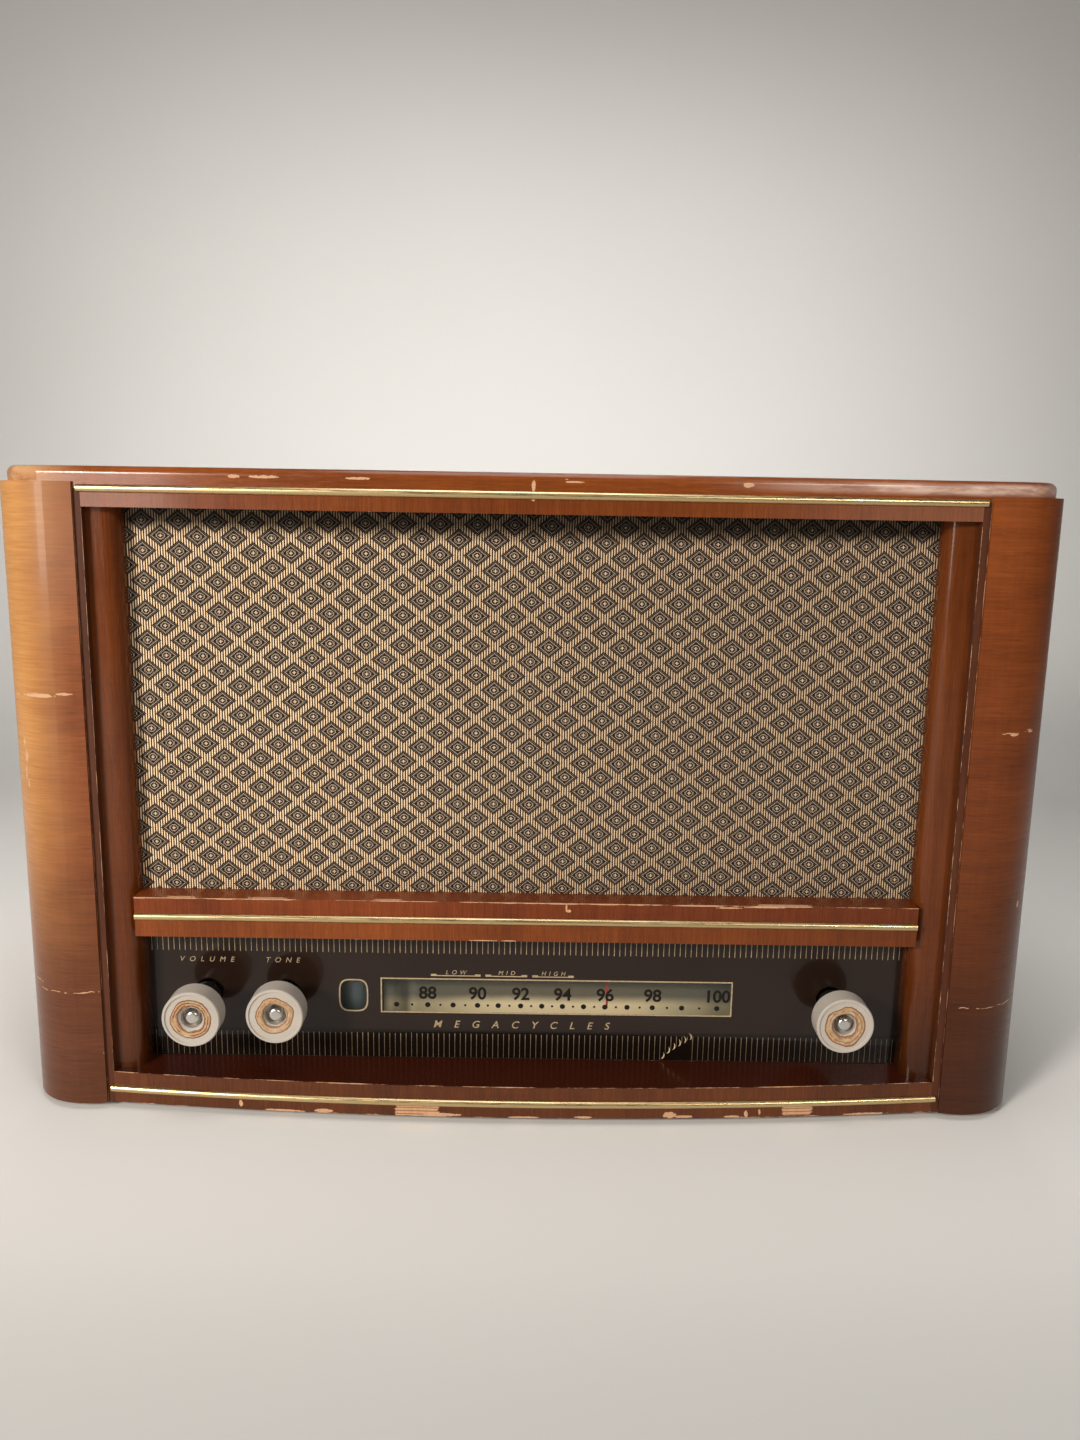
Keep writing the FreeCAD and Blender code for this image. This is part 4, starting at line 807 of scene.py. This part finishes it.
def mask_paint():
    """Brown-black lacquer behind polished glass, with fine wiping scratches and dust, and a painted dark
    reflection along its foot.
    """
    g = Graph("ScaleMask", Specular_IOR_Level=0.15, Coat_Weight=0.8, Coat_Roughness=0.04, Coat_IOR=1.3)
    cloud = g.noise(0.03, shift=5)
    scratch = g.ramp(g.noise(0.8, (0.08, 1, 1.3), detail=6.0, rough=0.8, twist=0.4, shift=9), 0.72, 0.80)
    dust = g.ramp(g.noise(1.6, detail=4.0, rough=0.8, shift=15), 0.70, 0.82)
    colour = g.mix(cloud, (0.015, 0.0078, 0.0052), (0.023, 0.0118, 0.0078))
    # Painted reflection: the lacquer is darker below the band words, where the shelf shows in the glass.
    foot = to_mm(UNDERSIDE) + 28.1
    colour = g.shaded(colour, g.ramp(g.z, foot - 0.5, foot + 0.5, 0.35, 1.0))
    marks = g.most(g.times(scratch, 0.10), g.times(dust, 0.14))
    colour = g.mix(marks, colour, (0.35, 0.30, 0.25))
    g.set(Base_Color=colour, Roughness=g.ramp(scratch, 0.0, 1.0, 0.22, 0.4))
    g.bump(g.noise(0.02, detail=1.0, shift=2), 0.05, 0.25)
    return g.material


def dark_ink():
    g = Graph("ScaleInk", Specular_IOR_Level=0.1)
    fine = g.noise(1.5, shift=4)
    g.set(Base_Color=g.mix(fine, (0.010, 0.008, 0.007), (0.022, 0.016, 0.012)))
    g.set(Roughness=g.vary(fine, 0.6, 0.75))
    return g.material


def eye_loop(grow=0.0):
    return round_loop(middle("tuning_eye").x, EYE_Z, EYE_RX + grow, EYE_RZ + grow, 3.6)


def printed(name, mesh, material):
    return add_object(name, mesh, "cabinet", material)


def make_mask():
    low, high = GLASS_LOW, GLASS_HIGH
    margin = 0.3 * MM
    outline = square_loop(low.x + margin, high.x - margin, SHELF + margin, MID_RAIL_LOW.z + 6 * MM)
    holes = [square_loop(SCALE_X0, SCALE_X1, SCALE_Z0, SCALE_Z1), eye_loop()]
    for control in CONTROLS:
        axis = middle(control + "_spindle")
        holes.append(round_loop(axis.x, axis.z, SPINDLE_HOLE, SPINDLE_HOLE))
    mesh = plate_with_holes("scale_mask", outline, holes, SCALE_FRONT - 0.06 * MM, 0.08 * MM)
    printed("scale_mask", mesh, mask_paint())


def bars(name, boxes, material):
    """Printed lines: one flat bar per (x0, x1, z0, z1)."""
    def build(work):
        for x0, x1, z0, z1 in boxes:
            work.faces.new([work.verts.new((x, PRINT_Y, z)) for x, z in square_loop(x0, x1, z0, z1)])
    printed(name, mesh_of(name, build), material)


def stripes():
    """Two bands of fine upright stripes, some of them rubbed short."""
    rng = random.Random(7)
    count = int(STRIPE_REACH / STRIPE_PITCH)
    top = MID_RAIL_LOW.z + 1 * MM
    upper = UNDERSIDE + 65.2 * MM
    lower = UNDERSIDE + 26.5 * MM
    found = []
    for k in range(-count, count + 1):
        x = k * STRIPE_PITCH
        half = STRIPE_HALF * rng.uniform(0.85, 1.1)
        found.append((x - half, x + half, upper + rng.uniform(-0.15, 0.15) * MM, top))
        foot = SHELF + 0.3 * MM
        if LOST_STRIPES[0] < x < LOST_STRIPES[1]:
            foot += 2.0 * MM + 0.65 * (x - LOST_STRIPES[0])
        found.append((x - half, x + half, foot, lower + rng.uniform(-0.15, 0.15) * MM))
    return found


def flake(work, x, z, size, angle):
    """One lifted curl of gold where the stripes have been scraped."""
    parts = 7
    for k in range(parts):
        t0, t1 = k / parts, (k + 1) / parts
        points = []
        for t, side in ((t0, -1), (t1, -1), (t1, 1), (t0, 1)):
            bend = angle + 0.9 * t
            wide = side * 0.34 * MM * math.sin(math.pi * min(0.96, max(0.06, t)))
            px = x + size * t * math.cos(bend) - wide * math.sin(bend)
            pz = z + size * t * math.sin(bend) + wide * math.cos(bend)
            points.append(work.verts.new((px, INK_Y - 0.05 * MM, pz)))
        work.faces.new(points)


def words(name, text, x, z, height, material, slant, bold, space):
    """Flat lettering centred at (x, z), with capitals of the given height."""
    curve = bpy.data.curves.new(name, "FONT")
    curve.body = text
    curve.size = height / CAP_SHARE
    curve.shear = slant
    curve.offset = bold
    curve.space_character = space
    curve.align_x = "CENTER"
    curve.align_y = "CENTER"
    curve.fill_mode = "FRONT"
    curve.resolution_u = 6
    mesh = flat_mesh(name, curve, INK_Y)
    mesh.transform(Matrix.Translation((x, 0, z)))
    printed(name, mesh, material).visible_shadow = False


def window_border():
    left, right, foot, head = SCALE_X0, SCALE_X1, SCALE_Z0, SCALE_Z1
    across = (left - BORDER, right + BORDER)
    return [(*across, head, head + BORDER), (*across, foot - BORDER, foot),
            (left - BORDER, left, foot, head), (right, right + BORDER, foot, head)]


def make_print():
    gold, ink = gold_ink("GoldInk", 0.30), dark_ink()
    bars("scale_stripes", stripes(), gold)
    bars("window_border", window_border(), gold)
    mesh = plate_with_holes("eye_border", eye_loop(BORDER), [eye_loop()], PRINT_Y, 0.03 * MM)
    printed("eye_border", mesh, gold)

    def curls(work):
        for k in range(6):
            t = k / 5
            flake(work, (62.5 + 13 * t) * MM, SHELF + (1.0 + 9.5 * t ** 0.8) * MM, 3.4 * MM, 0.35 + 0.1 * k)
    printed("stripe_flakes", mesh_of("stripe_flakes", curls), gold_ink("LiftedGold", 1.5))

    slant = 0.25
    volume_x, tone_x = middle("volume_spindle").x, middle("tone_spindle").x
    words("volume_word", "VOLUME", volume_x - 0.6 * MM, LABEL_Z, 2.4 * MM, gold, slant, 0.0, 2.3)
    words("tone_word", "TONE", tone_x - 1.5 * MM, LABEL_Z, 2.4 * MM, gold, slant, 0.0, 2.2)
    words("band_words", "MEGACYCLES", -2 * MM, UNDERSIDE + 31 * MM, 3.4 * MM, gold, slant, 0.03 * MM, 3.3)
    sides = []
    line_z = BAR_Z - 0.15 * MM
    for x0, x1, word in STATION_BARS:
        mid, x0, x1 = (x0 + x1) / 2 * MM, x0 * MM, x1 * MM
        for end in (x0, x1 - 2.6 * MM):
            sides.append((end, end + 2.6 * MM, line_z, BAR_Z + 0.40 * MM))
        sides.append((x0, x1, BAR_Z - 0.62 * MM, line_z))
        words("band_" + word.lower(), word, mid, BAR_Z + 1.2 * MM, 2.0 * MM, gold, slant, 0.0, 1.9)
    bars("station_bars", sides, gold)

    def dots(work):
        spots = [(x * MM, 1.22 * MM) for x in BIG_DOTS]
        spots += [((a + b) / 2 * MM, 0.55 * MM) for a, b in zip(BIG_DOTS, BIG_DOTS[1:])]
        for x, r in spots:
            loop = round_loop(x, DOT_Z, r, r, 2, 24)
            work.faces.new([work.verts.new((px, INK_Y, pz)) for px, pz in loop])
    printed("scale_dots", mesh_of("scale_dots", dots), ink).visible_shadow = False
    for k, x in enumerate(BIG_DOTS[1::2]):
        text = str(88 + 2 * k)
        words("number_" + text, text, x * MM, NUMBER_Z, 5.7 * MM, ink, 0.0, 0.22 * MM, 0.98)


def make_eye_glass():
    """The tuning eye's dull blue-grey target behind its window."""
    g = Graph("EyeTarget", Specular_IOR_Level=0.15)
    cloud = g.noise(0.12, detail=2.0, rough=0.4, shift=5)
    centre = middle("tuning_eye")
    fan = g.ramp(g.off(g.x, to_mm(centre.x)), 0.8, 6.0)
    colour = g.mix(fan, (0.125, 0.175, 0.185), (0.090, 0.105, 0.100))
    g.set(Base_Color=g.mix(g.times(cloud, 0.25), colour, (0.15, 0.16, 0.15)))
    g.set(Roughness=g.vary(cloud, 0.45, 0.6))
    radius, tall, half_angle = 9.2 * MM, 20 * MM, math.radians(70)

    def build(work):
        columns, rows = 24, 10
        grid = []
        for j in range(rows + 1):
            z = EYE_Z + (j / rows - 0.5) * tall
            line = []
            for i in range(columns + 1):
                a = half_angle * (2 * i / columns - 1)
                x, y = centre.x + radius * math.sin(a), centre.y - radius * math.cos(a)
                line.append(work.verts.new((x, y, z)))
            grid.append(line)
        quads(work, grid)
    add_object("eye_target", mesh_of("eye_target", build, True), "cabinet", g.material)


# ------------ glue rings on the knob faces
def dried_glue(seed, cracks):
    """Old adhesive: tan, brown along both edges, with more or fewer dark arcs in it."""
    g = Graph(f"DriedGlue{seed}", Specular_IOR_Level=0.3)
    patch = g.noise(0.45, detail=6.0, rough=0.75, twist=0.8, shift=seed * 3.1)
    fine = g.noise(2.5, detail=4.0, rough=0.7, shift=seed)
    across = g.node("ShaderNodeAttribute", attribute_name="across").outputs["Fac"]
    edge = g.times(g.off(across, 0.5), 2.0)
    edge = g.plus(g.times(edge, edge), g.times(g.minus(patch, 0.5), 1.6))
    colour = g.mix(g.ramp(patch, 0.34, 0.60), (0.38, 0.20, 0.090), (0.50, 0.35, 0.20))
    colour = g.mix(g.ramp(patch, 0.54, 0.66), colour, (0.52, 0.45, 0.36))
    colour = g.mix(g.times(g.ramp(edge, 0.30, 0.75), 0.85), colour, (0.20, 0.070, 0.024))
    wave = g.math("SINE", g.plus(g.times(across, 17.0), g.times(patch, 9.0)))
    arcs = g.times(g.ramp(wave, 0.25, 0.75), g.ramp(g.noise(0.16, detail=2.0, shift=seed + 7), 0.36, 0.52))
    colour = g.mix(g.times(arcs, cracks), colour, (0.17, 0.050, 0.015))
    g.set(Base_Color=colour)
    g.set(Roughness=g.vary(fine, 0.5, 0.75))
    g.bump(g.minus(g.plus(patch, g.times(fine, 0.4)), g.times(arcs, 0.6)), 0.12, 0.8)
    return g.material


DISH_RADIUS = 6.0 * MM        # of the hollow in a knob's face
DISH_SLOPE = 1.3 / 1.8


def make_glue(control, seed, inner, outer, width_change, cracks):
    """A lumpy, uneven annulus of old adhesive round the knob's centre hole."""
    low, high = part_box(control + "_knob")
    axis = middle(control + "_spindle")
    face = low.y + 0.70 * MM
    turns, rings = 120, 12

    def build(work):
        grid = []
        for i in range(turns):
            a = 2 * math.pi * i / turns
            c, s = math.cos(a), math.sin(a)
            lump = noise.noise(Vector((c * 1.3, s * 1.3, seed)))
            jag = noise.noise(Vector((c * 6, s * 6, seed + 5)))
            r_in = (inner + 0.5 * noise.noise(Vector((c * 2, s * 2, seed + 9))) + 0.15 * jag) * MM
            r_out = (outer + width_change * lump + 0.25 * jag) * MM
            line = []
            for j in range(rings + 1):
                t = j / rings
                r = r_in + (r_out - r_in) * t
                grain = noise.noise(Vector((r * c * 900, r * s * 900, seed)))
                ridge = 0.5 + 0.5 * math.cos(2 * math.pi * (t * 1.5 + 0.25 * lump))
                rise = (0.10 + 0.14 * ridge + 0.10 * grain) * math.sin(math.pi * t) ** 0.5
                dish = max(0.0, (DISH_RADIUS - r) * DISH_SLOPE)
                y = face + dish - (rise + 0.02) * MM
                line.append(work.verts.new((axis.x + r * c, y, axis.z + r * s)))
            grid.append(line)
        quads(work, grid, closed=True)
    body = "tuning_control" if control == "tuning" else control + "_control_shaft"
    mesh = mesh_of(control + "_glue", build, True)
    across = mesh.attributes.new("across", "FLOAT", "POINT")
    for i in range(turns * (rings + 1)):
        across.data[i].value = (i % (rings + 1)) / rings
    add_object(control + "_glue", mesh, body, dried_glue(seed, cracks))


# ------------ room, light and camera
def backdrop_paint():
    g = Graph("PalePaper", Specular_IOR_Level=0.15)
    cloud = g.noise(0.002, shift=3)
    grain = g.noise(0.3, detail=4.0, rough=0.7, shift=9)
    # Painted pool of light: the paper is brighter by the radio and darker towards the front and up the
    # sweep.
    near = g.times(g.ramp(g.y, -300, -100, 0.85, 1.27), g.ramp(g.y, 50, 800, 1.0, 0.70))
    colour = g.mix(cloud, (0.63, 0.618, 0.592), (0.68, 0.668, 0.645))
    g.set(Base_Color=g.shaded(colour, near))
    g.set(Roughness=g.vary(grain, 0.6, 0.75))
    g.bump(grain, 0.05, 0.2)
    return g.material


def make_backdrop():
    """A paper sweep: floor, a wide bend, and an upright."""
    front, bend_at, radius, top, half = -2.0, 0.55, 0.6, 2.4, 2.2
    profile = [(front, 0.0), (bend_at, 0.0)]
    steps = 24
    for k in range(1, steps + 1):
        a = math.radians(90 * k / steps)
        profile.append((bend_at + radius * math.sin(a), radius * (1 - math.cos(a))))
    profile.append((bend_at + radius, top))

    def build(work):
        left = [work.verts.new((-half, y, z)) for y, z in profile]
        right = [work.verts.new((half, y, z)) for y, z in profile]
        quads(work, list(zip(left, right)))
    mesh = mesh_of("backdrop", build, True)
    made = in_scene("backdrop", mesh)
    mesh.materials.append(backdrop_paint())


def area_light(name, place, target, size, power, colour, spread=180):
    data = bpy.data.lights.new(name, "AREA")
    data.shape = "RECTANGLE"
    data.size, data.size_y = size
    data.energy = power
    data.color = colour
    made = in_scene(name, data)
    made.location = place
    direction = Vector(target) - Vector(place)
    made.rotation_euler = direction.to_track_quat("-Z", "Y").to_euler()
    data.spread = math.radians(spread)


def make_lights():
    warm = (1.0, 0.94, 0.86)
    area_light("KeyLeft", (-0.92, -1.20, 0.72), (0, 0, 0.16), (0.30, 0.26), 18.0, warm)
    area_light("SideLeft", (-0.80, -1.10, 0.33), (-0.10, 0, 0.20), (0.25, 0.35), 2.6, (1.0, 0.95, 0.89))
    area_light("FillRight", (0.67, -1.25, 0.80), (0, 0, 0.16), (0.34, 0.11), 5.0, warm)
    area_light("Overhead", (-0.05, -0.20, 1.30), (-0.03, -0.20, 0), (0.9, 0.5), 6.2, (0.98, 0.985, 1.0))
    area_light("BackGlow", (0, 0.30, 0.84), (0, 1.15, 0.28), (1.3, 0.1), 2.85, (1.0, 0.99, 0.98), 92)
    area_light("RearFill", (0.10, 1.00, 1.55), (0, 0.10, 0.10), (0.6, 0.4), 0.45, (1.0, 0.98, 0.95), 70)
    world = bpy.data.worlds.new("Room")
    bpy.context.scene.world = world
    world.use_nodes = True
    background = world.node_tree.nodes["Background"]
    background.inputs["Color"].default_value = (0.95, 0.93, 0.90, 1)
    background.inputs["Strength"].default_value = 0.11
    bpy.context.scene.view_settings.view_transform = "Standard"


CAMERA_AT = Vector((0.00045, -0.5556, 0.2684))
CAMERA_PITCH = 0.1902         # radians below the horizon
CAMERA_YAW = 0.0080
CAMERA_ROLL = 0.0172
CAMERA_LENS = 28.18


def make_camera():
    data = bpy.data.cameras.new("PhotoCamera")
    data.sensor_width = 36.0
    data.lens = CAMERA_LENS
    data.clip_start = 0.01
    made = in_scene("PhotoCamera", data)
    p, w, r = CAMERA_PITCH, CAMERA_YAW, CAMERA_ROLL
    ahead = Vector((math.sin(w) * math.cos(p), math.cos(w) * math.cos(p), -math.sin(p)))
    right = Vector((math.cos(w), -math.sin(w), 0))
    up = right.cross(ahead)
    level = Matrix((right, up, -ahead)).transposed()
    made.matrix_world = Matrix.Translation(CAMERA_AT) @ (level @ Matrix.Rotation(r, 3, "Z")).to_4x4()
    bpy.context.scene.camera = made


make_camera()
make_backdrop()
make_lights()
finish_wood()
finish_fittings()
make_cloth()
make_mask()
make_print()
make_eye_glass()
make_glue("volume", 1, 5.6, 8.9, 0.9, 1.0)
make_glue("tone", 2, 5.0, 8.3, 0.9, 0.35)
make_glue("tuning", 3, 5.0, 9.0, 1.5, 0.5)
